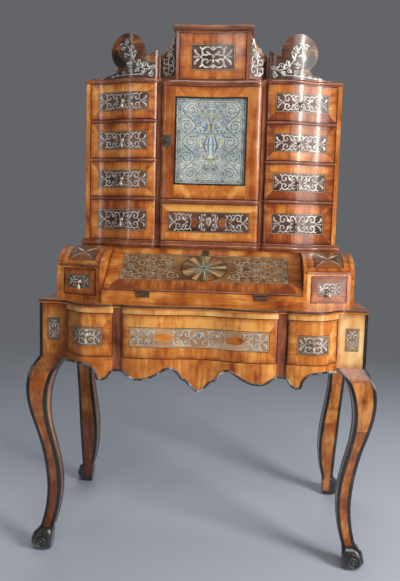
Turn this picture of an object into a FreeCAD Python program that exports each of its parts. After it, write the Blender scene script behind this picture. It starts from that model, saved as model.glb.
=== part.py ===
import FreeCAD, Part
import os

os.makedirs("parts", exist_ok=True)
Vec = FreeCAD.Vector

# Driving dimensions, in millimetres. The front looks along -Y, the floor is at height zero.

# Stand: main sizes and the serpentine line of its front, as widths from the middle and forward swells.
block_half_width = 453.0
carcass_depth = 510.0
leg_height = 575.0
drawer_floor_lift = 15.0
stand_opening_height = 121.0
top_rail_height = 14.0
stand_top_thick = 10.0
stand_top_overhang = 3.0
sweep_start_x = 400.0
stand_crest_x = 305.0
stand_notch_outer_x = 234.0
stand_notch_inner_x = 210.0
wide_crest_x = 145.0
stand_swell = 62.0
stand_notch_forward = 50.0
wide_hollow_forward = 43.0

# Legs and feet. The outlines are shares of the leg height and of the knee's reach.
knee_out = 29.0
foot_height = 66.0
front_leg_outer_shares = [(1.0, 0.0), (0.965, 0.44), (0.93, 0.78), (0.87, 1.0), (0.80, 0.97), (0.72, 0.72),
                          (0.63, 0.28), (0.50, -0.24), (0.38, -0.52), (0.27, -0.55), (0.18, -0.34)]
rear_leg_outer_shares = [(1.0, 0.0), (0.965, 0.44), (0.93, 0.78), (0.87, 1.0), (0.80, 0.98), (0.72, 0.88),
                         (0.63, 0.70), (0.54, 0.49), (0.42, 0.26), (0.33, 0.11), (0.215, 0.01)]
leg_inner_shares = [(1.0, -2.79), (0.975, -2.28), (0.94, -1.69), (0.885, -1.24), (0.78, -0.90),
                    (0.70, -0.90), (0.576, -1.26), (0.457, -1.69), (0.355, -1.90), (0.252, -1.83),
                    (0.16, -1.52)]
leg_toe_outer_share = -0.03
leg_toe_inner_share = -1.28
foot_outer_shares = [(0.14, 0.0), (0.28, 0.25), (0.28, 0.58), (0.14, 0.88), (-0.013, 1.0)]
foot_inner_shares = [(-0.56, 1.0), (-0.54, 0.45), (-0.48, 0.0)]

# Stand carcass.
block_width = 81.0
block_depth = 81.0
stand_side_thick = 16.0
frieze_thick = 22.0
dust_board_thick = 13.0
stand_back_thick = 10.0
divider_share = 0.8

# Apron: the lower edge as shares of the half width of each part and of the greatest drop.
apron_drop = 89.0
apron_tip_shares = [(0.0, 1.0), (0.06, 0.91), (0.12, 0.78), (0.15, 0.69)]
apron_middle_shares = [(0.15, 0.69), (0.17, 0.66), (0.21, 0.63), (0.235, 0.555), (0.27, 0.435), (0.31, 0.345),
                       (0.37, 0.29), (0.45, 0.35), (0.59, 0.55), (0.70, 0.64), (0.79, 0.66), (0.88, 0.60),
                       (0.95, 0.48), (1.0, 0.43)]
apron_lobe_shares = [(0.0, 0.43), (0.06, 0.52), (0.13, 0.66), (0.20, 0.71), (0.26, 0.71), (0.295, 0.68)]
apron_side_shares = [(0.295, 0.68), (0.31, 0.57), (0.345, 0.45), (0.40, 0.35), (0.51, 0.26), (0.66, 0.225),
                     (0.84, 0.24), (1.0, 0.30)]

# Desk: hinge rail, flap, side boxes with slanted fronts and curved tops.
rail_forward = 5.0
rail_thick = 20.0
rail_height = 32.0
desk_floor_thick = 10.0
box_inner_x = 277.0
box_outer_x = 420.0
box_inner_back = 9.0
box_outer_back = 57.0
box_front_height = 96.0
box_side_thick = 10.0
box_frame_thick = 12.0
box_stile_width = 10.0
box_low_rail_height = 12.0
box_top_rail_height = 9.0
box_top_thick = 10.0
box_top_rise_share = 0.30
box_top_crown_share = 0.80
desk_top_front = 145.0
desk_height = 145.0
desk_top_thick = 10.0
flap_thick = 18.0
flap_gap = 0.6
flap_side_gap = 1.2
desk_back_inset = 5.0
desk_back_thick = 10.0

# Flap hinges.
hinge_middle_x = 162.0
hinge_width = 38.0
hinge_leaf_height = 14.0
hinge_leaf_thick = 1.5
hinge_barrel_radius = 2.5
hinge_pin_radius = 1.2
hinge_pin_clearance = 0.08
hinge_gap = 0.5
hinge_leaf_depth = 16.0

# Upper cabinet: main sizes and its serpentine front line.
cabinet_half_width = 388.0
cabinet_side_thick = 12.0
cabinet_plane_back = 247.0
column_crest_x = 205.0
column_notch_x = 163.0
centre_notch_x = 152.0
centre_crest_x = 122.0
column_swell = 38.0
cabinet_notch_forward = 26.0
centre_swell = 40.0
centre_hollow_forward = 33.0
base_thick = 21.0
base_overhang = 8.0
column_drawer_heights = [105.0, 105.0, 105.0, 120.0]
divider_thick = 9.6
divider_set_back = 2.0
column_top_thick = 14.0
centre_drawer_height = 112.2
low_rail_thick = 14.0
high_rail_thick = 18.0
door_height = 332.0
cabinet_back_thick = 10.0

# Door.
door_thick = 20.0
door_opening_half_width = 111.0
door_low_rail = 43.0
door_top_rail = 32.0
door_side_gap = 1.6
door_end_gap = 1.0
panel_set_back = 4.0
panel_thick = 5.0
door_pin_from_edge = 2.9
door_pin_depth = 4.0
door_pin_radius = 1.8
door_pin_length = 6.0
door_pin_clearance = 0.08

# Crest: top drawer, its box, cap, slanted wings and scrolled boards.
crest_drawer_half_width = 98.0
crest_drawer_height = 133.0
crest_side_thick = 10.0
cap_fascia_height = 6.0
cap_height = 20.0
cap_overhang = 9.0
cap_side_overhang = 7.0
wing_outer_x = 160.0
wing_thick = 12.0
wing_front_set_back = 3.0
wing_slant_back = 30.0
wing_inner_rise = 131.0
wing_outer_rise = 70.0
scroll_set_back = 4.0
scroll_thick = 16.0
scroll_inner_x = 167.0
scroll_inner_rise = 82.0
scroll_foot_x = 192.0
scroll_foot_rise = 64.0
scroll_head_x = 256.0
scroll_head_rise = 76.0
scroll_head_radius = 54.0
scroll_tail_x = 372.0
scroll_tail_rise = 3.0
scroll_neck_share = 0.60

# Drawers and their pulls.
front_thick = 18.0
drawer_side_thick = 8.0
drawer_back_thick = 8.0
drawer_bottom_thick = 6.0
drawer_side_inset = 1.0
drawer_side_drop = 8.0
drawer_bottom_lift = 4.0
drawer_gap = 0.8
drawer_side_gap = 1.5
drawer_back_gap = 4.0
pull_pin_out = 12.0
pull_stem_radius = 2.8
pull_seat = 3.0
pull_ball_radius = 4.8
pull_slot_half = 2.0
pull_slot_reach = 3.6
pull_pin_radius = 1.0
drop_hole_clearance = 0.06
drop_eye_radius = 3.1
drop_eye_half = 1.5
drop_neck_radius = 1.4
drop_neck_length = 6.5
drop_belly_depth = 16.0
drop_radius = 4.6
drop_length = 23.0
pull_lift_share = 0.5

# Levels and planes that follow from the sizes above.
depth = knee_out + carcass_depth + stand_swell + pull_pin_out + drop_radius
back_y = depth / 2 - knee_out
block_y = back_y - carcass_depth
drawer_floor_height = leg_height + drawer_floor_lift
top_rail_low = drawer_floor_height + stand_opening_height
stand_board_z = top_rail_low + top_rail_height
stand_height = stand_board_z + stand_top_thick
desk_z = stand_height + desk_height
desk_back_y = back_y - desk_back_inset
desk_inner_back_y = desk_back_y - desk_back_thick
cabinet_y = block_y + cabinet_plane_back
cabinet_z = desk_z + base_thick
cabinet_inner_back_y = desk_back_y - cabinet_back_thick


def straight(a, b):
    """Poles of a straight run of the front line, as (x, forward) points."""
    return [a, b]


def ease(a, b):
    """Poles of an S-shaped run that leaves and arrives parallel to the front."""
    middle = (a[0] + b[0]) / 2
    return [a, (middle, a[1]), (middle, b[1]), b]


def swell_in(crest, notch):
    """Poles of a run that turns from a crest straight back into a notch."""
    return [crest, (notch[0], crest[1]), notch]


def swell_out(notch, crest):
    """Poles of a run that leaves a notch straight forward and turns onto a crest."""
    return [notch, (notch[0], crest[1]), crest]


def whole_front(half_runs, plane_y):
    """Full front line from left to right, as lists of poles in the plan."""
    right = [[(x, plane_y - forward) for x, forward in run] for run in half_runs]
    left = [[(-x, y) for x, y in reversed(run)] for run in reversed(right)]
    return left + right


stand_front = whole_front([
    ease((0, wide_hollow_forward), (wide_crest_x, stand_swell)),
    swell_in((wide_crest_x, stand_swell), (stand_notch_inner_x, stand_notch_forward)),
    straight((stand_notch_inner_x, stand_notch_forward), (stand_notch_outer_x, stand_notch_forward)),
    swell_out((stand_notch_outer_x, stand_notch_forward), (stand_crest_x, stand_swell)),
    ease((stand_crest_x, stand_swell), (sweep_start_x, 0)),
    straight((sweep_start_x, 0), (block_half_width, 0)),
], block_y)

desk_front = whole_front([
    straight((0, -box_inner_back), (box_inner_x, -box_inner_back)),
    straight((box_inner_x, -box_inner_back), (box_outer_x, -box_outer_back)),
], block_y)

cabinet_front = whole_front([
    ease((0, centre_hollow_forward), (centre_crest_x, centre_swell)),
    swell_in((centre_crest_x, centre_swell), (centre_notch_x, cabinet_notch_forward)),
    straight((centre_notch_x, cabinet_notch_forward), (column_notch_x, cabinet_notch_forward)),
    swell_out((column_notch_x, cabinet_notch_forward), (column_crest_x, column_swell)),
    ease((column_crest_x, column_swell), (cabinet_half_width - cabinet_side_thick, 0)),
    straight((cabinet_half_width - cabinet_side_thick, 0), (cabinet_half_width, 0)),
], cabinet_y)


def curve_edge(poles):
    """Edge through poles that are vectors: a line for two of them, else a Bezier curve."""
    if len(poles) == 2:
        return Part.makeLine(poles[0], poles[1])
    curve = Part.BezierCurve()
    curve.setPoles(poles)
    return curve.toShape()


def smooth_edge(points):
    """Edge that passes smoothly through a row of vectors."""
    curve = Part.BSplineCurve()
    curve.interpolate(points)
    return curve.toShape()


def prism(edges, direction):
    """Solid swept along a direction from the flat area inside a closed row of edges."""
    wire = Part.Wire(edges)
    return Part.Face(wire).extrude(direction)


def front_edges(front, shift, z):
    """Edges of a front line, moved back by a shift, at one height."""
    return [curve_edge([Vec(x, y + shift, z) for x, y in run]) for run in front]


def line_ends(front, shift, z):
    """First and last point of a front line at one height."""
    first = front[0][0]
    last = front[-1][-1]
    return Vec(first[0], first[1] + shift, z), Vec(last[0], last[1] + shift, z)


def behind(front, shift, far_y, low, high):
    """Solid from a shifted front line back to a straight plane, between two heights."""
    start, end = line_ends(front, shift, low)
    far_end = Vec(end.x, far_y, low)
    far_start = Vec(start.x, far_y, low)
    edges = front_edges(front, shift, low)
    edges.append(Part.makeLine(end, far_end))
    edges.append(Part.makeLine(far_end, far_start))
    edges.append(Part.makeLine(far_start, start))
    return prism(edges, Vec(0, 0, high - low))


def band(front, near, far, low, high):
    """Solid of even depth that follows a front line, between two heights."""
    start, end = line_ends(front, near, low)
    back_start, back_end = line_ends(front, far, low)
    edges = front_edges(front, near, low)
    edges.append(Part.makeLine(end, back_end))
    edges.extend(reversed(front_edges(front, far, low)))
    edges.append(Part.makeLine(back_start, start))
    return prism(edges, Vec(0, 0, high - low))


def board(x0, x1, y0, y1, z0, z1):
    """Plain board between two opposite corners."""
    return Part.makeBox(x1 - x0, y1 - y0, z1 - z0, Vec(x0, y0, z0))


def upright(x0, x1, z0, z1):
    """Tall block through the whole depth, for cutting a front to its width and height."""
    return board(x0, x1, -depth, depth, z0, z1)


def plate(points, direction):
    """Flat-sided solid swept along a direction from a closed row of corner points."""
    corners = [Vec(*point) for point in points]
    return Part.Face(Part.makePolygon(corners + corners[:1])).extrude(direction)


def mirrored(shape):
    """Copy of a right-hand shape for the left-hand side."""
    return shape.mirror(Vec(0, 0, 0), Vec(1, 0, 0))


def both(shape):
    """A right-hand shape and its left-hand copy."""
    return [shape, mirrored(shape)]


def only(shape):
    """The single solid inside a cut or common shape."""
    return shape.Solids[0]


def save(name, solids):
    """Write the solids of one piece, or of one group of pieces, to its file."""
    clean = [only(solid) for solid in solids]
    shape = clean[0] if len(clean) == 1 else Part.makeCompound(clean)
    shape.exportStep("parts/" + name + ".step")


def front_y(front, x):
    """Depth of a front line at one width, found by halving along its run."""
    for run in front:
        if run[0][0] <= x <= run[-1][0]:
            edge = curve_edge([Vec(px, py, 0) for px, py in run])
            low, high = edge.FirstParameter, edge.LastParameter
            for _ in range(40):
                middle = (low + high) / 2
                if edge.valueAt(middle).x < x:
                    low = middle
                else:
                    high = middle
            return edge.valueAt(low).y
    return front[0][0][1]


# Legs: the same S-curve seen from the front and from the side, so each leg bends to its corner.

def leg_outline(outer_shares, place):
    """Closed outline of one leg, with a function that puts an outward reach and height in space."""
    outer = [place(reach * knee_out, height * leg_height) for height, reach in outer_shares]
    inner = [place(reach * knee_out, height * leg_height) for height, reach in leg_inner_shares]
    outer.append(place(leg_toe_outer_share * knee_out, foot_height))
    inner.append(place(leg_toe_inner_share * knee_out, foot_height))
    inner.reverse()
    return [smooth_edge(outer), Part.makeLine(outer[-1], inner[0]), smooth_edge(inner),
            Part.makeLine(inner[-1], outer[0])]


def front_leg_outline(place):
    """Outline of a front leg, hollow below its knee."""
    return leg_outline(front_leg_outer_shares, place)


def rear_leg_outline(place):
    """Outline of a rear leg, which is fuller below its knee."""
    return leg_outline(rear_leg_outer_shares, place)


def foot_outline(place):
    """Closed outline of one scroll foot, with a function that puts a reach and height in space."""
    outer = [place(reach * foot_height, height * foot_height) for reach, height in foot_outer_shares]
    inner = [place(reach * foot_height, height * foot_height) for reach, height in foot_inner_shares]
    return [smooth_edge(outer), Part.makeLine(outer[-1], inner[0]), smooth_edge(inner),
            Part.makeLine(inner[-1], outer[0])]


def corner_post(outline):
    """Right front piece: its outline seen from the front, met by the same outline from the side."""
    seen_from_front = outline(lambda reach, z: Vec(block_half_width + reach, -depth, z))
    seen_from_side = outline(lambda reach, z: Vec(-depth, block_y - reach, z))
    from_front = prism(seen_from_front, Vec(0, depth * 2, 0))
    from_side = prism(seen_from_side, Vec(depth * 2, 0, 0))
    return only(from_front.common(from_side))


def at_rear(shape):
    """A right front piece moved to the right rear corner of the stand, in mirror image."""
    return shape.mirror(Vec(0, (block_y + back_y) / 2, 0), Vec(0, 1, 0))


scroll_foot_block = corner_post(foot_outline)
save("legs", both(corner_post(front_leg_outline)) + both(at_rear(corner_post(rear_leg_outline))))
save("scroll_feet", both(scroll_foot_block) + both(at_rear(scroll_foot_block)))

# Stand: blocks over the legs, side panels, serpentine frieze, dust board, partitions and top board.

block_inner_x = block_half_width - block_width
stand_inner_back_y = back_y - stand_back_thick
front_block = behind(stand_front, 0, block_y + block_depth, leg_height, stand_board_z)
front_block = only(front_block.common(upright(block_inner_x, block_half_width, leg_height, stand_board_z)))
rear_block = board(block_inner_x, block_half_width, back_y - block_depth, back_y, leg_height, stand_board_z)
save("corner_blocks", both(front_block) + both(rear_block))

stand_side = board(block_half_width - stand_side_thick, block_half_width, block_y + block_depth,
                   back_y - block_depth, leg_height, stand_board_z)
save("stand_sides", both(stand_side))


def frieze_piece(x0, x1, low, high):
    """Stretch of the stand's front, of even depth, between two widths and two heights."""
    return only(band(stand_front, 0, frieze_thick, low, high).common(upright(x0, x1, low, high)))


save("top_rail", [frieze_piece(-stand_notch_inner_x, stand_notch_inner_x, top_rail_low, stand_board_z)]
     + both(frieze_piece(stand_notch_outer_x, block_inner_x, top_rail_low, stand_board_z)))

apron_low_z = drawer_floor_height - apron_drop


def apron_edge(shares, x0, x1):
    """Lower edge of a stretch of apron, as points from one width to another."""
    width = x1 - x0
    return [Vec(x0 + width * along, -depth, drawer_floor_height - drop * apron_drop)
            for along, drop in shares]


def apron_cutter(low_edges, x0, x1):
    """Block with the apron's lower edge, reaching up to the drawers' floor."""
    start = low_edges[0].valueAt(low_edges[0].FirstParameter)
    end = low_edges[-1].valueAt(low_edges[-1].LastParameter)
    top_end = Vec(x1, -depth, drawer_floor_height)
    top_start = Vec(x0, -depth, drawer_floor_height)
    edges = list(low_edges)
    edges.append(Part.makeLine(end, top_end))
    edges.append(Part.makeLine(top_end, top_start))
    edges.append(Part.makeLine(top_start, start))
    return prism(edges, Vec(0, depth * 2, 0))


def to_left(points):
    """Mirror image of an edge's points, in the order that carries on from left to right."""
    return [Vec(-point.x, point.y, point.z) for point in reversed(points)]


tip_points = apron_edge(apron_tip_shares, 0, stand_notch_inner_x)
middle_points = apron_edge(apron_middle_shares, 0, stand_notch_inner_x)
middle_edges = [smooth_edge(points) for points in (to_left(middle_points), to_left(tip_points),
                                                   tip_points, middle_points)]
middle_cutter = apron_cutter(middle_edges, -stand_notch_inner_x, stand_notch_inner_x)
lobe_points = apron_edge(apron_lobe_shares, stand_notch_outer_x, block_inner_x)
side_points = apron_edge(apron_side_shares, stand_notch_outer_x, block_inner_x)
side_cutter = apron_cutter([smooth_edge(lobe_points), smooth_edge(side_points)],
                           stand_notch_outer_x, block_inner_x)
apron_band = band(stand_front, 0, frieze_thick, apron_low_z - apron_drop, drawer_floor_height)
save("apron", [only(apron_band.common(middle_cutter))] + both(only(apron_band.common(side_cutter))))

pilaster_low = drawer_floor_height - apron_lobe_shares[0][1] * apron_drop
save("pilasters", both(frieze_piece(stand_notch_inner_x, stand_notch_outer_x, pilaster_low, stand_board_z)))

dust_board = behind(stand_front, frieze_thick, stand_inner_back_y,
                    drawer_floor_height - dust_board_thick, drawer_floor_height)
dust_cut = upright(-block_inner_x, block_inner_x, 0, stand_height)
save("dust_board", [only(dust_board.common(dust_cut))])

notch_middle_x = (stand_notch_inner_x + stand_notch_outer_x) / 2
partition_half = (stand_notch_outer_x - stand_notch_inner_x) / 2 * divider_share
stand_partition = board(notch_middle_x - partition_half, notch_middle_x + partition_half,
                        block_y - stand_notch_forward + frieze_thick, stand_inner_back_y,
                        drawer_floor_height, stand_board_z)
save("stand_partitions", both(stand_partition))
save("stand_top", [behind(stand_front, -stand_top_overhang, back_y, stand_board_z, stand_height)])

# Desk: rail and floor, side boxes with curved tops, the board that carries the cabinet, and the flap.

rail_y = block_y - rail_forward
rail_z = stand_height + rail_height
save("hinge_rail", [board(-box_inner_x, box_inner_x, rail_y, rail_y + rail_thick, stand_height, rail_z)])
save("desk_floor", [board(-box_inner_x, box_inner_x, rail_y + rail_thick, desk_inner_back_y,
                          rail_z - desk_floor_thick, rail_z)])

box_z = stand_height + box_front_height
desk_front_y = block_y + desk_top_front
desk_board_z = desk_z - desk_top_thick


def crown_poles(x, start_y, drop):
    """Poles of the curved top at one width, lowered by a drop on the inside of its thickness."""
    run = desk_front_y - start_y
    rise = desk_z - box_z
    bend = Vec(x, start_y + drop + run * box_top_rise_share, box_z + rise * box_top_crown_share - drop)
    return [Vec(x, start_y + drop, box_z), bend, Vec(x, desk_front_y, desk_z - drop)]


def box_wall(x0, x1, start_y, back):
    """Upright side of a box, with the curve of the box's top along its front."""
    crown = crown_poles(x0, start_y, 0)
    low_front = Vec(x0, start_y, stand_height)
    low_back = Vec(x0, back, stand_height)
    high_back = Vec(x0, back, desk_board_z)
    step = Vec(x0, desk_front_y, desk_board_z)
    edges = [Part.makeLine(low_front, crown[0]), curve_edge(crown), Part.makeLine(crown[-1], step),
             Part.makeLine(step, high_back), Part.makeLine(high_back, low_back),
             Part.makeLine(low_back, low_front)]
    return prism(edges, Vec(x1 - x0, 0, 0))


inner_wall_x = box_inner_x + box_side_thick
outer_wall_x = box_outer_x - box_side_thick
inner_start = front_y(desk_front, inner_wall_x)
outer_start = front_y(desk_front, outer_wall_x)
save("desk_partitions", both(only(box_wall(box_inner_x, inner_wall_x, inner_start, desk_inner_back_y))))
save("desk_sides", both(only(box_wall(outer_wall_x, box_outer_x, outer_start, desk_back_y))))


def crown_section(x, start_y):
    """Closed cross-section of the curved top at one width."""
    outer = crown_poles(x, start_y, 0)
    inner = crown_poles(x, start_y, box_top_thick)
    inner.reverse()
    return Part.Wire([curve_edge(outer), Part.makeLine(outer[-1], inner[0]), curve_edge(inner),
                      Part.makeLine(inner[-1], outer[0])])


crown_sections = [crown_section(inner_wall_x, inner_start), crown_section(outer_wall_x, outer_start)]
box_crown = Part.makeLoft(crown_sections, True, True)
save("box_tops", both(box_crown))


def frame_piece(x0, x1, low, high):
    """Piece of the slanted frame round a box drawer."""
    return only(band(desk_front, 0, box_frame_thick, low, high).common(upright(x0, x1, low, high)))


stile_inner_x = inner_wall_x + box_stile_width
stile_outer_x = outer_wall_x - box_stile_width
box_low_z = stand_height + box_low_rail_height
box_high_z = box_z - box_top_rail_height
save("box_frames", both(frame_piece(inner_wall_x, stile_inner_x, stand_height, box_z))
     + both(frame_piece(stile_outer_x, outer_wall_x, stand_height, box_z))
     + both(frame_piece(stile_inner_x, stile_outer_x, stand_height, box_low_z))
     + both(frame_piece(stile_inner_x, stile_outer_x, box_high_z, box_z)))
save("desk_top", [board(-box_outer_x, box_outer_x, desk_front_y, desk_back_y, desk_board_z, desk_z)])

flap_low = rail_z + flap_gap
flap_top_y = desk_front_y - flap_gap
slope_run = flap_top_y - rail_y
slope_rise = desk_z - flap_low
slope_length = (slope_run ** 2 + slope_rise ** 2) ** (1 / 2)
flap_foot = flap_thick * slope_length / slope_rise
flap_head = flap_thick * slope_length / slope_run
flap_half = box_inner_x - flap_side_gap
flap = plate([(-flap_half, rail_y, flap_low), (-flap_half, flap_top_y, desk_z),
              (-flap_half, flap_top_y, desk_z - flap_head), (-flap_half, rail_y + flap_foot, flap_low)],
             Vec(flap_half * 2, 0, 0))

# Flap hinges: one leaf on the face of the rail, the other let into the flap's lower edge.

barrel_y = rail_y - hinge_barrel_radius - hinge_gap / 2
barrel_z = rail_z + flap_gap / 2
knuckle = (hinge_width - hinge_gap * 2) / 3


def rod(start, radius, length, direction):
    """Round rod from a start point."""
    return Part.makeCylinder(radius, length, start, direction)


def fixed_leaf(x):
    """Leaf screwed to the rail, with its two knuckles and the pin."""
    left = x - hinge_width / 2
    right = x + hinge_width / 2
    leaf_top = barrel_z - hinge_barrel_radius - hinge_gap
    leaf = board(left, right, rail_y - hinge_leaf_thick, rail_y, leaf_top - hinge_leaf_height, leaf_top)
    for start in (left, right - knuckle):
        leaf = leaf.fuse(rod(Vec(start, barrel_y, barrel_z), hinge_barrel_radius, knuckle, Vec(1, 0, 0)))
        leaf = leaf.fuse(board(start, start + knuckle, barrel_y, rail_y, leaf_top - hinge_gap, barrel_z))
    leaf = leaf.fuse(rod(Vec(left, barrel_y, barrel_z), hinge_pin_radius, hinge_width, Vec(1, 0, 0)))
    return only(leaf.removeSplitter())


def moving_leaf(x):
    """Leaf under the flap's edge, with the middle knuckle round the pin."""
    left = x - knuckle / 2
    leaf = board(left, left + knuckle, barrel_y, rail_y + hinge_leaf_depth, flap_low,
                 flap_low + hinge_leaf_thick)
    leaf = leaf.fuse(rod(Vec(left, barrel_y, barrel_z), hinge_barrel_radius, knuckle, Vec(1, 0, 0)))
    hole = rod(Vec(left, barrel_y, barrel_z), hinge_pin_radius + hinge_pin_clearance, knuckle, Vec(1, 0, 0))
    return only(leaf.cut(hole).removeSplitter())


moving_leaves = both(moving_leaf(hinge_middle_x))
save("hinge_leaves_rail", both(fixed_leaf(hinge_middle_x)))
save("hinge_leaves_flap", moving_leaves)
for leaf in moving_leaves:
    flap = flap.cut(leaf)
save("fall_flap", [only(flap)])

# Cabinet: base, sides, partitions, the boards between the drawers, and the rails round the door.

base = behind(cabinet_front, -base_overhang, desk_back_y, desk_z, cabinet_z)
base_half = cabinet_half_width + base_overhang
base = base.fuse(board(-base_half, base_half, cabinet_y - base_overhang, desk_back_y, desk_z, cabinet_z))
save("cabinet_base", [only(base.removeSplitter())])

column_levels = []
level = cabinet_z
for height in reversed(column_drawer_heights):
    column_levels.insert(0, (level + drawer_gap, level + drawer_gap + height))
    level = level + drawer_gap * 2 + height + divider_thick
column_top_z = level - divider_thick
crest_z = column_top_z + column_top_thick
column_side_x = cabinet_half_width - cabinet_side_thick

save("cabinet_sides", both(board(column_side_x, cabinet_half_width, cabinet_y, desk_back_y,
                                 cabinet_z, column_top_z)))
save("cabinet_partitions", both(board(centre_notch_x, column_notch_x, cabinet_y - cabinet_notch_forward,
                                      cabinet_inner_back_y, cabinet_z, column_top_z)))


def shelf(x0, x1, low, high, set_back):
    """Board behind the cabinet's front line, back to the cabinet's back."""
    whole = behind(cabinet_front, set_back, cabinet_inner_back_y, low, high)
    return only(whole.common(upright(x0, x1, low, high)))


dividers = []
for low, high in column_levels[:-1]:
    under = low - drawer_gap - divider_thick
    divider = shelf(column_notch_x, column_side_x, under, under + divider_thick, divider_set_back)
    dividers.extend(both(divider))
column_top = behind(cabinet_front, 0, desk_back_y, column_top_z, crest_z)
column_top = only(column_top.common(upright(centre_notch_x, cabinet_half_width, column_top_z, crest_z)))
save("column_boards", dividers + both(column_top))

centre_low = cabinet_z + drawer_gap
low_rail_z = centre_low + centre_drawer_height + drawer_gap
door_z = low_rail_z + low_rail_thick + door_end_gap
door_top_z = door_z + door_height
high_rail_z = door_top_z + door_end_gap
crest_floor_z = high_rail_z + high_rail_thick
door_half = centre_notch_x - door_side_gap
pin_x = door_half - door_pin_from_edge
pin_y = front_y(cabinet_front, pin_x) + door_pin_depth
pin_hole_radius = door_pin_radius + door_pin_clearance
low_hole = rod(Vec(pin_x, pin_y, door_z), pin_hole_radius, door_pin_length, Vec(0, 0, -1))
high_hole = rod(Vec(pin_x, pin_y, door_top_z), pin_hole_radius, door_pin_length, Vec(0, 0, 1))
low_rail = shelf(-centre_notch_x, centre_notch_x, low_rail_z, low_rail_z + low_rail_thick, 0)
high_rail = shelf(-centre_notch_x, centre_notch_x, high_rail_z, crest_floor_z, 0)
save("door_rails", [low_rail.cut(low_hole), high_rail.cut(high_hole)])

# Door: two stiles, two rails, an engraved panel, and a pivot pin at the top and foot of the right stile.


def door_piece(near, far, x0, x1, low, high):
    """Piece of the door between two depths behind the cabinet's front line."""
    return only(band(cabinet_front, near, far, low, high).common(upright(x0, x1, low, high)))


opening_low = door_z + door_low_rail
opening_high = door_top_z - door_top_rail
opening = door_opening_half_width
pin_length = door_pin_length - door_end_gap
door_pins = [rod(Vec(pin_x, pin_y, door_z), door_pin_radius, pin_length, Vec(0, 0, -1)),
             rod(Vec(pin_x, pin_y, door_top_z), door_pin_radius, pin_length, Vec(0, 0, 1))]
save("door_frame", both(door_piece(0, door_thick, opening, door_half, door_z, door_top_z))
     + [door_piece(0, door_thick, -opening, opening, door_z, opening_low),
        door_piece(0, door_thick, -opening, opening, opening_high, door_top_z)] + door_pins)
save("door_panel", [door_piece(panel_set_back, panel_set_back + panel_thick, -opening, opening,
                               opening_low, opening_high)])

# Crest: the top drawer's box, the cap over it, the slanted wings and the scrolled boards.

crest_inner_x = crest_drawer_half_width + drawer_side_gap
crest_outer_x = crest_inner_x + crest_side_thick
cap_z = crest_floor_z + drawer_gap * 2 + crest_drawer_height
save("crest_sides", both(shelf(crest_inner_x, crest_outer_x, crest_floor_z, cap_z, divider_set_back)))

fascia = behind(cabinet_front, 0, desk_back_y, cap_z, cap_z + cap_fascia_height)
fascia = fascia.common(upright(-crest_outer_x, crest_outer_x, cap_z, cap_z + cap_fascia_height))
cap_half = crest_outer_x + cap_side_overhang
cap_board = behind(cabinet_front, -cap_overhang, desk_back_y, cap_z + cap_fascia_height, cap_z + cap_height)
cap_board = cap_board.common(upright(-cap_half, cap_half, cap_z, cap_z + cap_height))
save("crest_cap", [only(fascia.fuse(cap_board).removeSplitter())])

wing_y = front_y(cabinet_front, crest_outer_x) + wing_front_set_back
wing_plan = plate([(crest_outer_x, wing_y, crest_z), (wing_outer_x, wing_y + wing_slant_back, crest_z),
                   (wing_outer_x, wing_y + wing_slant_back + wing_thick, crest_z),
                   (crest_outer_x, wing_y + wing_thick, crest_z)], Vec(0, 0, wing_inner_rise))
wing_inner_top = Vec(crest_outer_x, -depth, crest_z + wing_inner_rise)
wing_outer_top = Vec(wing_outer_x, -depth, crest_z + wing_outer_rise)
wing_bend = Vec(crest_outer_x, -depth, crest_z + wing_outer_rise)
wing_low_outer = Vec(wing_outer_x, -depth, crest_z)
wing_low_inner = Vec(crest_outer_x, -depth, crest_z)
wing_middle = (wing_inner_top + wing_outer_top + wing_bend) / 3
wing_side = prism([curve_edge([wing_inner_top, wing_middle, wing_outer_top]),
                   Part.makeLine(wing_outer_top, wing_low_outer),
                   Part.makeLine(wing_low_outer, wing_low_inner),
                   Part.makeLine(wing_low_inner, wing_inner_top)], Vec(0, depth * 2, 0))
save("crest_wings", both(only(wing_plan.common(wing_side))))


def at_crest(x, rise):
    """Point in front of the crest at a width and at a rise above the column tops."""
    return Vec(x, -depth, crest_z + rise)


head_reach = scroll_head_radius * scroll_neck_share
head_drop = (scroll_head_radius ** 2 - head_reach ** 2) ** (1 / 2)
neck = at_crest(scroll_head_x + head_reach, scroll_head_rise - head_drop)
head_top = at_crest(scroll_head_x, scroll_head_rise + scroll_head_radius)
head_inner_drop = scroll_head_rise - scroll_foot_rise
head_inner_reach = (scroll_head_radius ** 2 - head_inner_drop ** 2) ** (1 / 2)
head_inner = at_crest(scroll_head_x - head_inner_reach, scroll_foot_rise)
scroll_foot = at_crest(scroll_foot_x, scroll_foot_rise)
inner_top = at_crest(scroll_inner_x, scroll_inner_rise)
inner_low = at_crest(scroll_inner_x, 0)
tail_low = at_crest(scroll_tail_x, 0)
tail_top = at_crest(scroll_tail_x, scroll_tail_rise)
tail_bend = at_crest(neck.x, scroll_tail_rise)
scroll_outline = [Part.makeLine(inner_low, tail_low), Part.makeLine(tail_low, tail_top),
                  curve_edge([tail_top, tail_bend, neck]),
                  Part.Arc(neck, head_top, head_inner).toShape(),
                  curve_edge([head_inner, scroll_foot, inner_top]), Part.makeLine(inner_top, inner_low)]
scroll_side = prism(scroll_outline, Vec(0, depth * 2, 0))
scroll_band = band(cabinet_front, scroll_set_back, scroll_set_back + scroll_thick, crest_z,
                   crest_z + scroll_head_rise + scroll_head_radius * 2)
save("crest_scrolls", both(only(scroll_band.common(scroll_side))))

# Backs of the stand, desk, cabinet and crest box.

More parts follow.
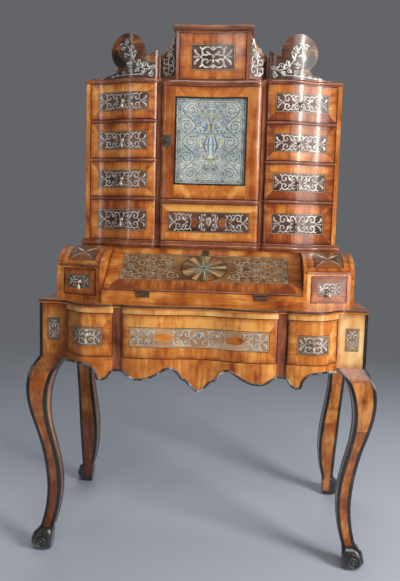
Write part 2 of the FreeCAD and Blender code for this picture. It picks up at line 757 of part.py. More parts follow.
save("back_boards", [board(-block_inner_x, block_inner_x, stand_inner_back_y, back_y,
                           leg_height, stand_board_z),
                     board(-outer_wall_x, outer_wall_x, desk_inner_back_y, desk_back_y,
                           stand_height, desk_board_z),
                     board(-column_side_x, column_side_x, cabinet_inner_back_y, desk_back_y,
                           cabinet_z, column_top_z),
                     board(-crest_outer_x, crest_outer_x, cabinet_inner_back_y, desk_back_y,
                           crest_floor_z, cap_z)])

# Drawers: a shaped front with a lighter box behind it, and on most of them a brass post for a drop pull.


def pull_point(front, x, z):
    """Line of the pin that carries a drop, in front of a drawer at one width and height."""
    return Vec(x, front_y(front, x) - pull_pin_out, z)


def pull_post(point, front_piece):
    """Stem with a slotted ball and a cross pin, standing on the face of a drawer."""
    stem = rod(point, pull_stem_radius, pull_pin_out + pull_seat, Vec(0, 1, 0)).cut(front_piece)
    ball = Part.makeSphere(pull_ball_radius, point)
    slot = board(point.x - pull_slot_half, point.x + pull_slot_half, point.y - pull_pin_out,
                 point.y + pull_slot_reach, point.z - pull_pin_out, point.z + pull_slot_reach)
    pin = rod(Vec(point.x - pull_slot_reach, point.y, point.z), pull_pin_radius, pull_slot_reach * 2,
              Vec(1, 0, 0))
    return only(stem.fuse(ball).cut(slot).fuse(pin).removeSplitter())


def drop(point):
    """Pear-shaped drop with an eye round the post's pin."""
    def at(radius, below):
        return Vec(point.x + radius, point.y, point.z - below)
    neck_top = at(drop_neck_radius, drop_eye_radius / 2)
    neck_low = at(drop_neck_radius, drop_neck_length)
    shoulder = at(drop_neck_radius, drop_belly_depth / 2 + drop_neck_length / 2)
    belly = at(drop_radius, drop_belly_depth)
    corner = at(drop_radius, drop_length)
    tip = at(0, drop_length)
    top = at(0, drop_eye_radius / 2)
    shoulder_out = at(drop_radius, (drop_belly_depth + drop_neck_length) / 2)
    edges = [Part.makeLine(top, neck_top), Part.makeLine(neck_top, neck_low),
             curve_edge([neck_low, shoulder, shoulder_out, belly]), curve_edge([belly, corner, tip]),
             Part.makeLine(tip, top)]
    pear = Part.Face(Part.Wire(edges)).revolve(point, Vec(0, 0, 1), 360)
    eye_side = Vec(point.x - drop_eye_half, point.y, point.z)
    eye_width = drop_eye_half * 2
    eye = rod(eye_side, drop_eye_radius, eye_width, Vec(1, 0, 0))
    hole = rod(eye_side, pull_pin_radius + drop_hole_clearance, eye_width, Vec(1, 0, 0))
    return only(pear.fuse(eye).cut(hole).removeSplitter())


def drawer(name, front, x0, x1, low, high, back, thick, pull):
    """One drawer with its front, sides, back and bottom, and a pull in its middle if it has one."""
    face = only(band(front, 0, thick, low, high).common(upright(x0, x1, low, high)))
    rear = behind(front, thick, back, low, high - drawer_side_drop)
    left = x0 + drawer_side_inset
    right = x1 - drawer_side_inset
    inner_left = left + drawer_side_thick
    inner_right = right - drawer_side_thick
    side_high = high - drawer_side_drop
    floor_low = low + drawer_bottom_lift
    solids = [face]
    for start in (left, inner_right):
        solids.append(only(rear.common(upright(start, start + drawer_side_thick, low, side_high))))
    solids.append(board(inner_left, inner_right, back - drawer_back_thick, back, low, side_high))
    floor_cut = board(inner_left, inner_right, -depth, back - drawer_back_thick, floor_low,
                      floor_low + drawer_bottom_thick)
    solids.append(only(rear.common(floor_cut)))
    if pull:
        point = pull_point(front, (x0 + x1) / 2, low + (high - low) * pull_lift_share)
        solids.append(pull_post(point, face))
        save(name + "_drop", [drop(point)])
    save(name, solids)


def drawer_pair(name, front, x0, x1, low, high, back, thick):
    """The same drawer on the right and on the left, each with a pull."""
    drawer("right_" + name, front, x0, x1, low, high, back, thick, True)
    drawer("left_" + name, front, -x1, -x0, low, high, back, thick, True)


cabinet_drawer_back = cabinet_inner_back_y - drawer_back_gap
for number, (low, high) in enumerate(column_levels):
    drawer_pair("column_drawer_" + str(number + 1), cabinet_front, column_notch_x + drawer_side_gap,
                column_side_x - drawer_side_gap, low, high, cabinet_drawer_back, front_thick)
drawer("centre_drawer", cabinet_front, -door_half, door_half, centre_low, centre_low + centre_drawer_height,
       cabinet_drawer_back, front_thick, False)
drawer("crest_drawer", cabinet_front, -crest_drawer_half_width, crest_drawer_half_width,
       crest_floor_z + drawer_gap, cap_z - drawer_gap, cabinet_drawer_back, front_thick, True)
drawer_pair("box_drawer", desk_front, stile_inner_x + drawer_side_gap, stile_outer_x - drawer_side_gap,
            box_low_z + drawer_gap, box_high_z - drawer_gap, desk_inner_back_y - drawer_back_gap,
            box_frame_thick)

stand_drawer_back = stand_inner_back_y - drawer_back_gap
stand_drawer_low = drawer_floor_height + drawer_gap
stand_drawer_high = top_rail_low - drawer_gap
wide_half = stand_notch_inner_x - drawer_side_gap
drawer_pair("stand_drawer", stand_front, stand_notch_outer_x + drawer_side_gap,
            block_inner_x - drawer_side_gap, stand_drawer_low, stand_drawer_high, stand_drawer_back,
            front_thick)
drawer("wide_drawer", stand_front, -wide_half, wide_half, stand_drawer_low, stand_drawer_high,
       stand_drawer_back, front_thick, False)
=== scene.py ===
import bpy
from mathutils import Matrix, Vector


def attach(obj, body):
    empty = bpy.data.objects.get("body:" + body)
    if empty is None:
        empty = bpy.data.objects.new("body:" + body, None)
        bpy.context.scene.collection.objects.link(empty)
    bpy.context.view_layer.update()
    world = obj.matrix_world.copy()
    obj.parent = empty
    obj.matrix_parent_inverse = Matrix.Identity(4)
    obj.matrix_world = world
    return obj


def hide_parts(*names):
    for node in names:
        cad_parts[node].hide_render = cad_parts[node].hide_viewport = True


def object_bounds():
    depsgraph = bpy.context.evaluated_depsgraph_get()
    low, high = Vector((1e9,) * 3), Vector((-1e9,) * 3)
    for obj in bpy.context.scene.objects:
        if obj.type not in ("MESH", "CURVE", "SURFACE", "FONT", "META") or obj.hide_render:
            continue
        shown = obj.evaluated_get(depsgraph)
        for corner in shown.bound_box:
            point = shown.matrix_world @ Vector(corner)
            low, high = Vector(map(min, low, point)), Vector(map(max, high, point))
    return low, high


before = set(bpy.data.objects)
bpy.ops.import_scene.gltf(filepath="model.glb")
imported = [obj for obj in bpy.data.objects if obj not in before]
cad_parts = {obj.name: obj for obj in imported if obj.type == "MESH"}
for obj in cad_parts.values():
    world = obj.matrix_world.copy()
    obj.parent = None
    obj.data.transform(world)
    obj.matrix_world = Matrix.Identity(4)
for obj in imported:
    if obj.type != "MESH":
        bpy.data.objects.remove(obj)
cad_box = [[float(value) for value in corner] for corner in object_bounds()]

# Room: a plain pale floor that fades into a plain grey backdrop, soft lamps with the strongest on the right,
# three of them seen only as reflections in the polish, and the camera at the place of the photograph's.
import itertools
import math
import bpy
import numpy as np
from mathutils import Matrix, Vector
from mathutils.bvhtree import BVHTree

floor_grey = (0.46, 0.50, 0.575)
backdrop_grey = (0.125, 0.13, 0.14)
ambient_blue = (0.93, 0.96, 1.0)
floor_z = -0.0006
floor_rings = (0.6, 1.2, 2.4, 4.8, 14.0)
spokes = 48
show = bpy.context.scene.collection.objects.link


def put(tree, kind, inputs=None, give=0, **settings):
    """One node with its settings, and its inputs as plain values or links. Hands back one of its outputs."""
    node = tree.nodes.new(kind)
    for key, value in settings.items():
        setattr(node, key, value)
    for key, value in (inputs or {}).items():
        socket = node.inputs[key]
        if isinstance(value, bpy.types.NodeSocket):
            tree.links.new(value, socket)
        else:
            socket.default_value = (*value, 1.0) if socket.type == "RGBA" else value
    return node.outputs if give is None else node.outputs[give]


def calc(tree, operation, *values):
    """A sum, product or other step on one or two values."""
    return put(tree, "ShaderNodeMath", dict(enumerate(values)), operation=operation)


def ramp(tree, value, low, high, to_low=0.0, to_high=1.0):
    """A smooth change from one level to another as a value rises."""
    levels = {"Value": value, "From Min": low, "From Max": high, "To Min": to_low, "To Max": to_high}
    return put(tree, "ShaderNodeMapRange", levels, interpolation_type="SMOOTHSTEP")


def noise(tree, place, scale, detail, **more):
    """Cloudy noise at a place, with so many turns to the metre."""
    return put(tree, "ShaderNodeTexNoise", {"Vector": place, "Scale": scale, "Detail": detail, **more}, "Fac")


def seen_share(tree):
    """One for what the camera, a mirror or a glass sees, and nothing for the light itself."""
    path = put(tree, "ShaderNodeLightPath", give=None)
    seen = calc(tree, "MAXIMUM", path["Is Camera Ray"], path["Is Glossy Ray"])
    return calc(tree, "MAXIMUM", seen, path["Is Transmission Ray"])


def new_finish(name):
    """An empty material and its node tree."""
    finish = bpy.data.materials.new(name)
    finish.use_nodes = True
    finish.node_tree.nodes.clear()
    return finish, finish.node_tree


studio = bpy.data.worlds.new("studio")
bpy.context.scene.world = studio
studio.use_nodes = True
sky = studio.node_tree
sky.nodes.clear()
shown = put(sky, "ShaderNodeBackground", {"Color": backdrop_grey, "Strength": 1.0})
ambient = put(sky, "ShaderNodeBackground", {"Color": ambient_blue, "Strength": 0.13})
sky_mix = put(sky, "ShaderNodeMixShader", {0: seen_share(sky), 1: ambient, 2: shown})
put(sky, "ShaderNodeOutputWorld", {"Surface": sky_mix}, None)

floor_paint, paint = new_finish("floor_paint")
floor_place = put(paint, "ShaderNodeTexCoord", give="Object")
floor_rough = ramp(paint, noise(paint, floor_place, 9.0, 4.0), 0.3, 0.7, 0.55, 0.7)
floor_lit = put(paint, "ShaderNodeBsdfPrincipled", {"Base Color": floor_grey, "Roughness": floor_rough})
floor_far = put(paint, "ShaderNodeEmission", {"Color": backdrop_grey, "Strength": 1.0})
from_middle = put(paint, "ShaderNodeVectorMath", {0: floor_place}, "Value", operation="LENGTH")
fade = calc(paint, "MULTIPLY", ramp(paint, from_middle, 0.9, 3.4), seen_share(paint))
floor_mix = put(paint, "ShaderNodeMixShader", {0: fade, 1: floor_lit, 2: floor_far})
put(paint, "ShaderNodeOutputMaterial", {"Surface": floor_mix}, None)

floor_points, floor_faces = [(0.0, 0.0, floor_z)], []
for radius in floor_rings:
    for spoke in range(spokes):
        turn = 2 * math.pi * spoke / spokes
        floor_points.append((radius * math.cos(turn), radius * math.sin(turn), floor_z))
for spoke in range(spokes):
    after = (spoke + 1) % spokes
    floor_faces.append((0, 1 + spoke, 1 + after))
    for near in range(1, 1 + spokes * (len(floor_rings) - 1), spokes):
        far = near + spokes
        floor_faces.append((near + spoke, far + spoke, far + after, near + after))
floor_mesh = bpy.data.meshes.new("floor")
floor_mesh.from_pydata(floor_points, [], floor_faces)
floor_mesh.materials.append(floor_paint)
floor = bpy.data.objects.new("floor", floor_mesh)
show(floor)


def lamp(name, place, aim, wide, high, power, tint=(1.0, 0.985, 0.96), mirrored=True, lights=True):
    """A soft box that stands at a place and faces a point. It lights the object, is mirrored in it, or both."""
    light = bpy.data.lights.new(name, "AREA")
    light.shape, light.size, light.size_y = "RECTANGLE", wide, high
    light.energy, light.color = power, tint
    stand = bpy.data.objects.new(name, light)
    stand.location = place
    stand.rotation_euler = (Vector(aim) - Vector(place)).to_track_quat("-Z", "Y").to_euler()
    stand.visible_glossy, stand.visible_diffuse = mirrored, lights
    show(stand)


lamp("window_right", (2.16, -2.22, 2.15), (0.15, 0.0, 1.1), 0.32, 1.5, 30.0, lights=False)
lamp("sheen_right", (1.78, -2.42, 2.1), (0.15, 0.0, 1.2), 1.15, 1.5, 16.0, lights=False)
lamp("card_right", (2.2, -1.6, 1.2), (0.1, -0.1, 0.85), 0.9, 2.0, 18.0)
lamp("window_left", (-1.75, -2.3, 1.55), (0.0, 0.0, 1.0), 0.14, 1.9, 6.0, (0.95, 0.97, 1.0))
lamp("glow_high", (-0.36, -2.2, 2.08), (0.0, 0.0, 1.45), 0.30, 0.16, 0.9, lights=False)
lamp("soft_right", (2.2, -1.6, 1.2), (0.1, -0.1, 0.85), 0.9, 2.0, 86.0, mirrored=False)
lamp("soft_top", (0.4, -2.2, 3.0), (0.1, 0.0, 0.7), 2.0, 1.2, 31.0, (1.0, 0.99, 0.97))
lamp("soft_back", (-0.3, 1.9, 4.2), (0.0, 0.3, 0.7), 2.0, 1.6, 40.0, (1.0, 1.0, 1.0))

camera_place = (0.1201, -1.9190, 0.9607)
yaw, pitch, roll = math.radians(-4.21), math.radians(6.29), math.radians(-1.54)
focal_length, photo_height, sensor_width = 622.0, 581.0, 36.0
ahead = Vector((math.sin(yaw) * math.cos(pitch), math.cos(yaw) * math.cos(pitch), -math.sin(pitch)))
level_right = Vector((math.cos(yaw), -math.sin(yaw), 0.0))
level_down = ahead.cross(level_right)
view_right = level_right * math.cos(roll) + level_down * math.sin(roll)
view_down = level_down * math.cos(roll) - level_right * math.sin(roll)
camera_data = bpy.data.cameras.new("camera")
camera_data.sensor_width = sensor_width
camera_data.lens = focal_length / photo_height * sensor_width
camera = bpy.data.objects.new("camera", camera_data)
turned = Matrix((view_right, -view_down, -ahead)).transposed()
camera.matrix_world = Matrix.Translation(camera_place) @ turned.to_4x4()
show(camera)
bpy.context.scene.camera = camera
bpy.context.scene.view_settings.view_transform = "Standard"

# Legs: four S-curved legs of square section, veneered in walnut with the grain along the leg, with painted shade
# darkening them towards the foot, fully on the left and a little on the right, and a black strip let into each
# long edge. Sizes are in millimetres from here on.
mm = 0.001
block_half_width, block_y, back_y = 453.0, -230.2, 279.8
middle_y = (block_y + back_y) / 2
leg_height, foot_height, leg_swing = 575.0, 66.0, 29.0
strip_width, strip_proud, strip_sunk, strip_turn = 8.6, 0.8, 0.4, 1.6
inside_box = 0.05
white = (1.0, 1.0, 1.0)


def new_group(name, kind, inputs, outputs):
    """An empty group of shader or geometry nodes with named sockets, and what it is given."""
    group = bpy.data.node_groups.new(name, kind + "NodeTree")
    for way, sockets in (("INPUT", inputs), ("OUTPUT", outputs)):
        for label, socket in sockets.items():
            group.interface.new_socket(label, in_out=way, socket_type="NodeSocket" + socket)
    return group, group.nodes.new("NodeGroupInput").outputs


def mixed(tree, share, first, second, how="MIX"):
    """Two colours mixed by a share, or laid over each other in another way."""
    return put(tree, "ShaderNodeMix", {0: share, 6: first, 7: second}, 2, data_type="RGBA", blend_type=how)


figure, leaf_in = new_group(
    "wood_figure", "Shader",
    {"Vector": "Vector", "Leaf": "Float", "Dark": "Color", "Mid": "Color", "Light": "Color"},
    {"Color": "Color", "Height": "Float", "Rough": "Float"})


def moved(place, by, how="ADD"):
    """A place in the wood moved or stretched by three values."""
    return put(figure, "ShaderNodeVectorMath", {0: place, 1: by}, operation=how)


def drawn_out(place, along, across, detail, rough=0.5, twist=0.0):
    """Noise drawn out along the grain, with sizes in turns to the metre."""
    stretched = moved(place, (along, across, across), "MULTIPLY")
    return noise(figure, stretched, 1.0, detail, Roughness=rough, Distortion=twist)


leaf_shift = [calc(figure, "MULTIPLY", leaf_in["Leaf"], share) for share in (13.7, 5.3, 9.1)]
own_place = moved(leaf_in["Vector"], put(figure, "ShaderNodeCombineXYZ", dict(enumerate(leaf_shift))))
waver = calc(figure, "MULTIPLY", calc(figure, "SUBTRACT", drawn_out(own_place, 6.0, 17.0, 2.0), 0.5), 0.035)
wavy = moved(own_place, put(figure, "ShaderNodeCombineXYZ", {1: waver, 2: waver}))
bands = drawn_out(wavy, 5.0, 48.0, 4.0, 0.55, 0.5)
fine = drawn_out(wavy, 9.0, 210.0, 3.0)
streaks = drawn_out(wavy, 17.0, 520.0, 2.0)
ripple = drawn_out(own_place, 55.0, 14.0, 2.0)
clouds = drawn_out(own_place, 12.0, 22.0, 3.0)
pores = ramp(figure, drawn_out(wavy, 130.0, 1700.0, 0.0), 0.58, 0.72)
tone = calc(figure, "MULTIPLY", bands, 0.42)
for part, weight in ((streaks, 0.15), (fine, 0.24), (clouds, 0.66), (ripple, 0.16), (leaf_in["Leaf"], 0.16)):
    tone = calc(figure, "ADD", tone, calc(figure, "MULTIPLY", part, weight))
tone = calc(figure, "SUBTRACT", tone, 0.395)
wood_colour = mixed(figure, ramp(figure, tone, 0.29, 0.50), leaf_in["Dark"], leaf_in["Mid"])
wood_colour = mixed(figure, ramp(figure, tone, 0.48, 0.70), wood_colour, leaf_in["Light"])
wood_colour = mixed(figure, calc(figure, "MULTIPLY", pores, 0.45), wood_colour, leaf_in["Dark"])
put(figure, "NodeGroupOutput", {"Color": wood_colour, "Height": calc(figure, "SUBTRACT", streaks, pores),
                                "Rough": ramp(figure, clouds, 0.3, 0.7, 0.20, 0.33)}, None)


def close_finish(tree, skin, height, strength, depth):
    """Ends a material with its skin, bumped by a fine height."""
    skin["Normal"] = put(tree, "ShaderNodeBump", {"Strength": strength, "Distance": depth, "Height": height})
    put(tree, "ShaderNodeOutputMaterial", {"Surface": put(tree, "ShaderNodeBsdfPrincipled", skin)}, None)


def wood_finish(name, tones, grain="veneer", leaf=0.0, leaf_axis="X", polish=0.8, painted_shade_below=None):
    """Polished wood: laid as veneer with its own grain map, or solid with the grain along an axis."""
    finish, tree = new_finish(name)
    leaf_tone = 0.5
    if grain == "veneer":
        vector = put(tree, "ShaderNodeUVMap", give="UV", uv_map="grain")
        leaf_tone = put(tree, "ShaderNodeAttribute", give="Fac", attribute_name="leaf")
        edge = put(tree, "ShaderNodeAttribute", give="Fac", attribute_name="from_edge")
        spread = calc(tree, "MULTIPLY", calc(tree, "SUBTRACT", noise(tree, vector, 38.0, 3.0), 0.5), 16.0)
        shade = ramp(tree, calc(tree, "ADD", edge, spread), -2.0, 15.0)
        age_and_shade_tint = (0.56, 0.40, 0.33)
    else:
        place = put(tree, "ShaderNodeTexCoord", give="Object")
        axes = put(tree, "ShaderNodeSeparateXYZ", {0: place}, None)
        order = {"X": "XYZ", "Y": "YZX", "Z": "ZXY"}[grain]
        vector = put(tree, "ShaderNodeCombineXYZ", {k: axes[order[k]] for k in range(3)})
        shade = ramp(tree, noise(tree, place, 23.0, 5.0), 0.25, 0.5)
        age_and_shade_tint = (0.80, 0.74, 0.70)
        # Painted shade: below a height the wood is tinted darker towards the bottom, fully on the left and only a
        # little on the right.
        if painted_shade_below:
            right_side = ramp(tree, axes["X"], -0.1, 0.1, 0.0, 0.85)
            kept = calc(tree, "MAXIMUM", ramp(tree, axes["Z"], 0.03, painted_shade_below), right_side)
            shade = calc(tree, "MINIMUM", shade, kept)
            age_and_shade_tint = (0.40, 0.32, 0.28)
        if leaf:
            number = calc(tree, "FLOOR", calc(tree, "DIVIDE", axes[leaf_axis], leaf))
            picked = put(tree, "ShaderNodeTexWhiteNoise", {"W": number}, "Value", noise_dimensions="1D")
            leaf_tone = ramp(tree, picked, 0.0, 1.0, 0.25, 0.8)
    leaf_inputs = {"Vector": vector, "Leaf": leaf_tone, **dict(zip(("Dark", "Mid", "Light"), tones))}
    wood = put(tree, "ShaderNodeGroup", leaf_inputs, None, node_tree=figure)
    colour = mixed(tree, 1.0, wood["Color"], mixed(tree, shade, age_and_shade_tint, white), "MULTIPLY")
    close_finish(tree, {"Base Color": colour, "Roughness": wood["Rough"], "Specular IOR Level": 0.36,
                        "Coat Weight": polish, "Coat Roughness": 0.13}, wood["Height"], 0.12, 0.0003)
    return finish


def black_finish(name, colour, wear_and_glint, gloss, polish=0.55, rubbed=0.56):
    """Black stained and polished wood, paler in patches: real wear on some pieces, painted glints on others."""
    finish, tree = new_finish(name)
    place = put(tree, "ShaderNodeTexCoord", give="Object")
    wear_and_glint_mask = noise(tree, place, 31.0, 6.0, Roughness=0.65)
    black = mixed(tree, ramp(tree, wear_and_glint_mask, rubbed, rubbed + 0.22), colour, wear_and_glint)
    close_finish(tree, {"Base Color": black, "Roughness": ramp(tree, wear_and_glint_mask, 0.3, 0.7, gloss, gloss + 0.2),
                        "Specular IOR Level": 0.5, "Coat Weight": polish, "Coat Roughness": 0.09},
                 noise(tree, place, 240.0, 2.0), 0.15, 0.0004)
    return finish


def set_piece(name, mesh, body):
    """A finished mesh as a piece of the object, on the body that carries it."""
    thing = bpy.data.objects.new(name, mesh)
    show(thing)
    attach(thing, body)
    return thing


def make_piece(name, points, faces, finishes, body, slot, index=None, crease=38.0):
    """A piece from points in millimetres, smooth but for its sharp edges."""
    mesh = bpy.data.meshes.new(name)
    mesh.from_pydata((np.asarray(points, float) * mm).tolist(), [], faces)
    for finish in finishes:
        mesh.materials.append(finish)
    if index is not None:
        mesh.polygons.foreach_set("material_index", index)
    mesh.polygons.foreach_set("use_smooth", [True] * len(mesh.polygons))
    mesh.update()
    mesh.set_sharp_from_angle(angle=math.radians(crease))
    return set_piece(name, mesh, body)


def dress(node, *finishes, rule=None):
    """Gives a board of the frame its finish, or one of several by where a face lies and looks."""
    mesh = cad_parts[node].data
    mesh.materials.clear()
    for finish in finishes:
        mesh.materials.append(finish)
    picked = [rule(face.center / mm, face.normal) if rule else 0 for face in mesh.polygons]
    mesh.polygons.foreach_set("material_index", picked)


def struck(node):
    """A tree of a board's own faces, to find where a line meets it."""
    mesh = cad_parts[node].data
    return BVHTree.FromPolygons([tuple(v.co) for v in mesh.vertices], [tuple(f.vertices) for f in mesh.polygons])


def meet(tree, start, along):
    """The point, in millimetres, where a line from a start meets a board."""
    return np.array(tree.ray_cast(Vector(start) * mm, Vector(along))[0]) / mm


def girth(tree, reach, z, end):
    """Where a right leg's outer and inner faces lie in width and in depth, at a height."""
    inside = (block_half_width + reach, middle_y - end * (middle_y - block_y + reach), z)
    ways = ((1, 0, 0), (-1, 0, 0), (0, -end, 0), (0, end, 0))
    return [meet(tree, inside, way)[0 if way[0] else 1] for way in ways]


def corner_strip(corner, into_x, into_y, z):
    """Points of a strip's section round one upright edge, from one face to the other."""
    wide, proud, sunk, turn = strip_width, strip_proud, strip_sunk, strip_turn
    section = [(wide, sunk), (wide, -proud), (turn, -proud), (-proud * 0.3, -proud * 0.3),
               (-proud, turn), (-proud, wide), (sunk, wide)]
    return [(corner[0] + into_x * a, corner[1] + into_y * b, z) for a, b in section]


def lofted(*stacks):
    """Points and faces of stacks of sections, each closed all round and at both ends, and turned out or over."""
    points, faces = [], []
    for sections, turned_out in stacks:
        base, count = len(points), len(sections[0])
        points += [point for section in sections for point in section]
        last = len(points) - count
        skin = [(low + k, low + (k + 1) % count, low + count + (k + 1) % count, low + count + k)
                for low in range(base, last, count) for k in range(count)]
        skin += [tuple(range(base, base + count))[::-1], tuple(range(last, last + count))]
        faces += skin if turned_out else [face[::-1] for face in skin]
    return points, faces


walnut = ((0.195, 0.040, 0.008), (0.46, 0.137, 0.019), (0.69, 0.325, 0.076))
walnut_upright = wood_finish("walnut_upright", walnut, "Z")
# Walnut for the legs, with painted shade darkening it towards the foot.
leg_walnut = wood_finish("leg_walnut", ((0.135, 0.030, 0.007), (0.30, 0.084, 0.014), (0.50, 0.20, 0.044)),
                         "Z", 0.135, "Z", 0.7, 0.47)
ebonised = black_finish("ebonised", (0.010, 0.009, 0.008), (0.085, 0.040, 0.018), 0.22)
dress("legs", leg_walnut)
leg_faces = struck("legs")
leg_levels = np.linspace(foot_height + 0.4, leg_height - 0.4, 96)
leg_middle = leg_swing * np.interp(
    leg_levels / leg_height, [0.115, 0.16, 0.25, 0.36, 0.46, 0.58, 0.70, 0.78, 0.88, 0.94, 1.0],
    [-0.66, -0.93, -1.19, -1.21, -1.04, -0.66, -0.13, 0.02, -0.13, -0.5, -1.4])
leg_sides = {end: [girth(leg_faces, reach, z, end) for z, reach in zip(leg_levels, leg_middle)] for end in (1, -1)}
leg_strips = []
for side, end, outer_x, outer_y in itertools.product((1, -1), repeat=4):
    into_x, into_y = -side * outer_x, end * outer_y
    sections = []
    for z, (x_out, x_in, y_out, y_in) in zip(leg_levels, leg_sides[end]):
        corner = (side * (x_out if outer_x > 0 else x_in), y_out if outer_y > 0 else y_in)
        sections.append(corner_strip(corner, into_x, into_y, z))
    leg_strips.append((sections, into_x * into_y < 0))
strip_points, strip_faces = lofted(*leg_strips)
low_corner, high_corner = np.array(cad_box) / mm
strip_points = np.clip(strip_points, low_corner + inside_box, high_corner - inside_box)
make_piece("leg_edge_strips", strip_points, strip_faces, [ebonised], "carcass", "ebonised")

# Scroll feet: each leg ends in a rounded block carved into a scroll, stained black, with a coil raised on its
# front and on its side, paler in patches as painted highlights. The rear blocks keep the leg's veneer on their
# inner faces.
# All four are carved here in the place of the frame's plain blocks.
foot_faces = struck("scroll_feet")
foot_round, rear_inner_round, inner_edge = 13.0, 2.5, 5.0
chamfer, chamfer_z = 2.5, 3.5
foot_carved = black_finish("carved_black", (0.011, 0.010, 0.010), (0.060, 0.045, 0.036), 0.24, 1.0)
# The coil is black with pale patches that are painted highlights.
coil_glint_finish = black_finish("coil_painted_glint", (0.022, 0.021, 0.021), (0.10, 0.10, 0.10), 0.22, 0.9, 0.50)
coil_x, coil_y, coil_z = 446.0, block_y + 7.0, 28.5
coil_radius, coil_wound, coil_start, coil_turns, coil_steps = 20.0, 0.86, 100, 1.9, 64
coil_thick, coil_thinned = 3.7, 1.4
button_lifts, button_radii = (-2.0, 0.5, 2.0, 2.8), (4.6, 4.6, 3.4, 0.6)
veneer_foot_z = 17.0
outside_x, outside_y = 560.0, -330.0


def work_group(name, inputs):
    """An empty group of geometry nodes that works lines into a mesh, with named inputs, and what it is given."""
    sockets = {"Geometry": "Geometry", **inputs, "Finish": "Material"}
    return new_group(name, "Geometry", sockets, {"Geometry": "Geometry"})


def close_work(tree, shape, finish):
    """Ends a group of geometry nodes with real faces in their finish."""
    real = put(tree, "GeometryNodeRealizeInstances", {"Geometry": shape})
    done = put(tree, "GeometryNodeSetMaterial", {"Geometry": real, "Material": finish})
    put(tree, "NodeGroupOutput", {0: done}, None)


round_bead, given = work_group("round_bead", {"Spacing": "Float", "Sides": "Int"})
line = put(round_bead, "GeometryNodeResampleCurve",
           {"Curve": given["Geometry"], "Length": given["Spacing"]}, mode="LENGTH")
ring = put(round_bead, "GeometryNodeCurvePrimitiveCircle", {"Resolution": given["Sides"], "Radius": 1.0})
tube = put(round_bead, "GeometryNodeCurveToMesh", {"Curve": line, "Profile Curve": ring, "Fill Caps": True,
                                                   "Scale": put(round_bead, "GeometryNodeInputRadius")})
close_work(round_bead, put(round_bead, "GeometryNodeSetShadeSmooth", {"Geometry": tube}), given["Finish"])


def worked(name, lines, tree, **values):
    """Lines, each a row of points and a thickness for each, worked by a group of nodes into a plain mesh."""
    curve = bpy.data.curves.new(name, "CURVE")
    curve.dimensions = "3D"
    for points, thick in lines:
        spline = curve.splines.new("POLY")
        spline.points.add(len(points) - 1)
        flat = np.ones((len(points), 4))
        flat[:, :3] = points
        spline.points.foreach_set("co", flat.ravel())
        spline.points.foreach_set("radius", np.broadcast_to(thick, len(points)).astype(float))
    holder = bpy.data.objects.new(name, curve)
    show(holder)
    modifier = holder.modifiers.new("work", "NODES")
    modifier.node_group = tree
    for item in tree.interface.items_tree:
        if item.in_out == "INPUT" and item.name in values:
            modifier[item.identifier] = values[item.name]
    graph = bpy.context.evaluated_depsgraph_get()
    mesh = bpy.data.meshes.new_from_object(holder.evaluated_get(graph), depsgraph=graph)
    mesh.name = name
    bpy.data.objects.remove(holder)
    return mesh


def resized(mesh):
    """A mesh drawn in millimetres, brought to metres."""
    mesh.transform(Matrix.Scale(mm, 4))
    return mesh


def pairs(row):
    """Each item of a closed row with the one after it."""
    return zip(row, row[1:] + row[:1])


foot_levels = np.array([0.0, 1.2, chamfer_z, *np.linspace(7, foot_height - 5, 18), foot_height - 2.2, foot_height])
foot_middle = np.interp(foot_levels, [0, 20, 40, 66], [-11, -8, -9, -19])


def carved_block(inner_x, inner_y, inner_round):
    """The foot's rounded block, level by level, held outside two inner faces."""
    sections = []
    for z, reach in zip(foot_levels, foot_middle):
        x_out, x_in, y_out, y_in = girth(foot_faces, reach, min(max(z, 0.3), foot_height - 0.3), 1)
        sunk = chamfer * max(0.0, 1 - z / chamfer_z)
        x0, x1 = max(x_in, inner_x) + sunk, x_out - sunk
        y0, y1 = y_out + sunk, min(y_in, inner_y) - sunk
        curve = min(foot_round, (x1 - x0) / 2.2, (y1 - y0) / 2.2)
        arcs = []
        for a, b, start, bend in ((x1, y1, 0, curve), (x0, y1, 90, min(curve, inner_round)), (x0, y0, 180, curve),
                                  (x1, y0, 270, curve)):
            cx, cy = (a - bend if a == x1 else a + bend), (b - bend if b == y1 else b + bend)
            turns = np.radians(start + np.linspace(0, 90, 9))
            arcs.append(np.stack([cx + bend * np.cos(turns), cy + bend * np.sin(turns), 0 * turns + z], -1))
        sections.append([tuple(row) for arc, after in pairs(arcs)
                         for row in (*arc, *np.linspace(arc[-1], after[0], 8)[1:-1])])
    return lofted((sections, True))


def mirrored_y(y):
    """A depth at the back brought to the front, where the feet are carved."""
    return 2 * middle_y - y


foot_block, foot_skin = carved_block(-1e4, 1e4, foot_round)
rear_x_out, rear_x_in, rear_y_out, rear_y_in = leg_sides[-1][0]
rear_block, rear_skin = carved_block(rear_x_in - 1.0, mirrored_y(rear_y_in) + 1.0, rear_inner_round)
foot_tree = BVHTree.FromPolygons([Vector(p) for p in foot_block], foot_skin)


def on_foot(a, z, sideways):
    """The point of a foot's front, or of its outer side, at a place across it and a height."""
    start, along = ((outside_x, a, z), (-1, 0, 0)) if sideways else ((a, outside_y, z), (0, 1, 0))
    return foot_tree.ray_cast(Vector(start), Vector(along))[0]


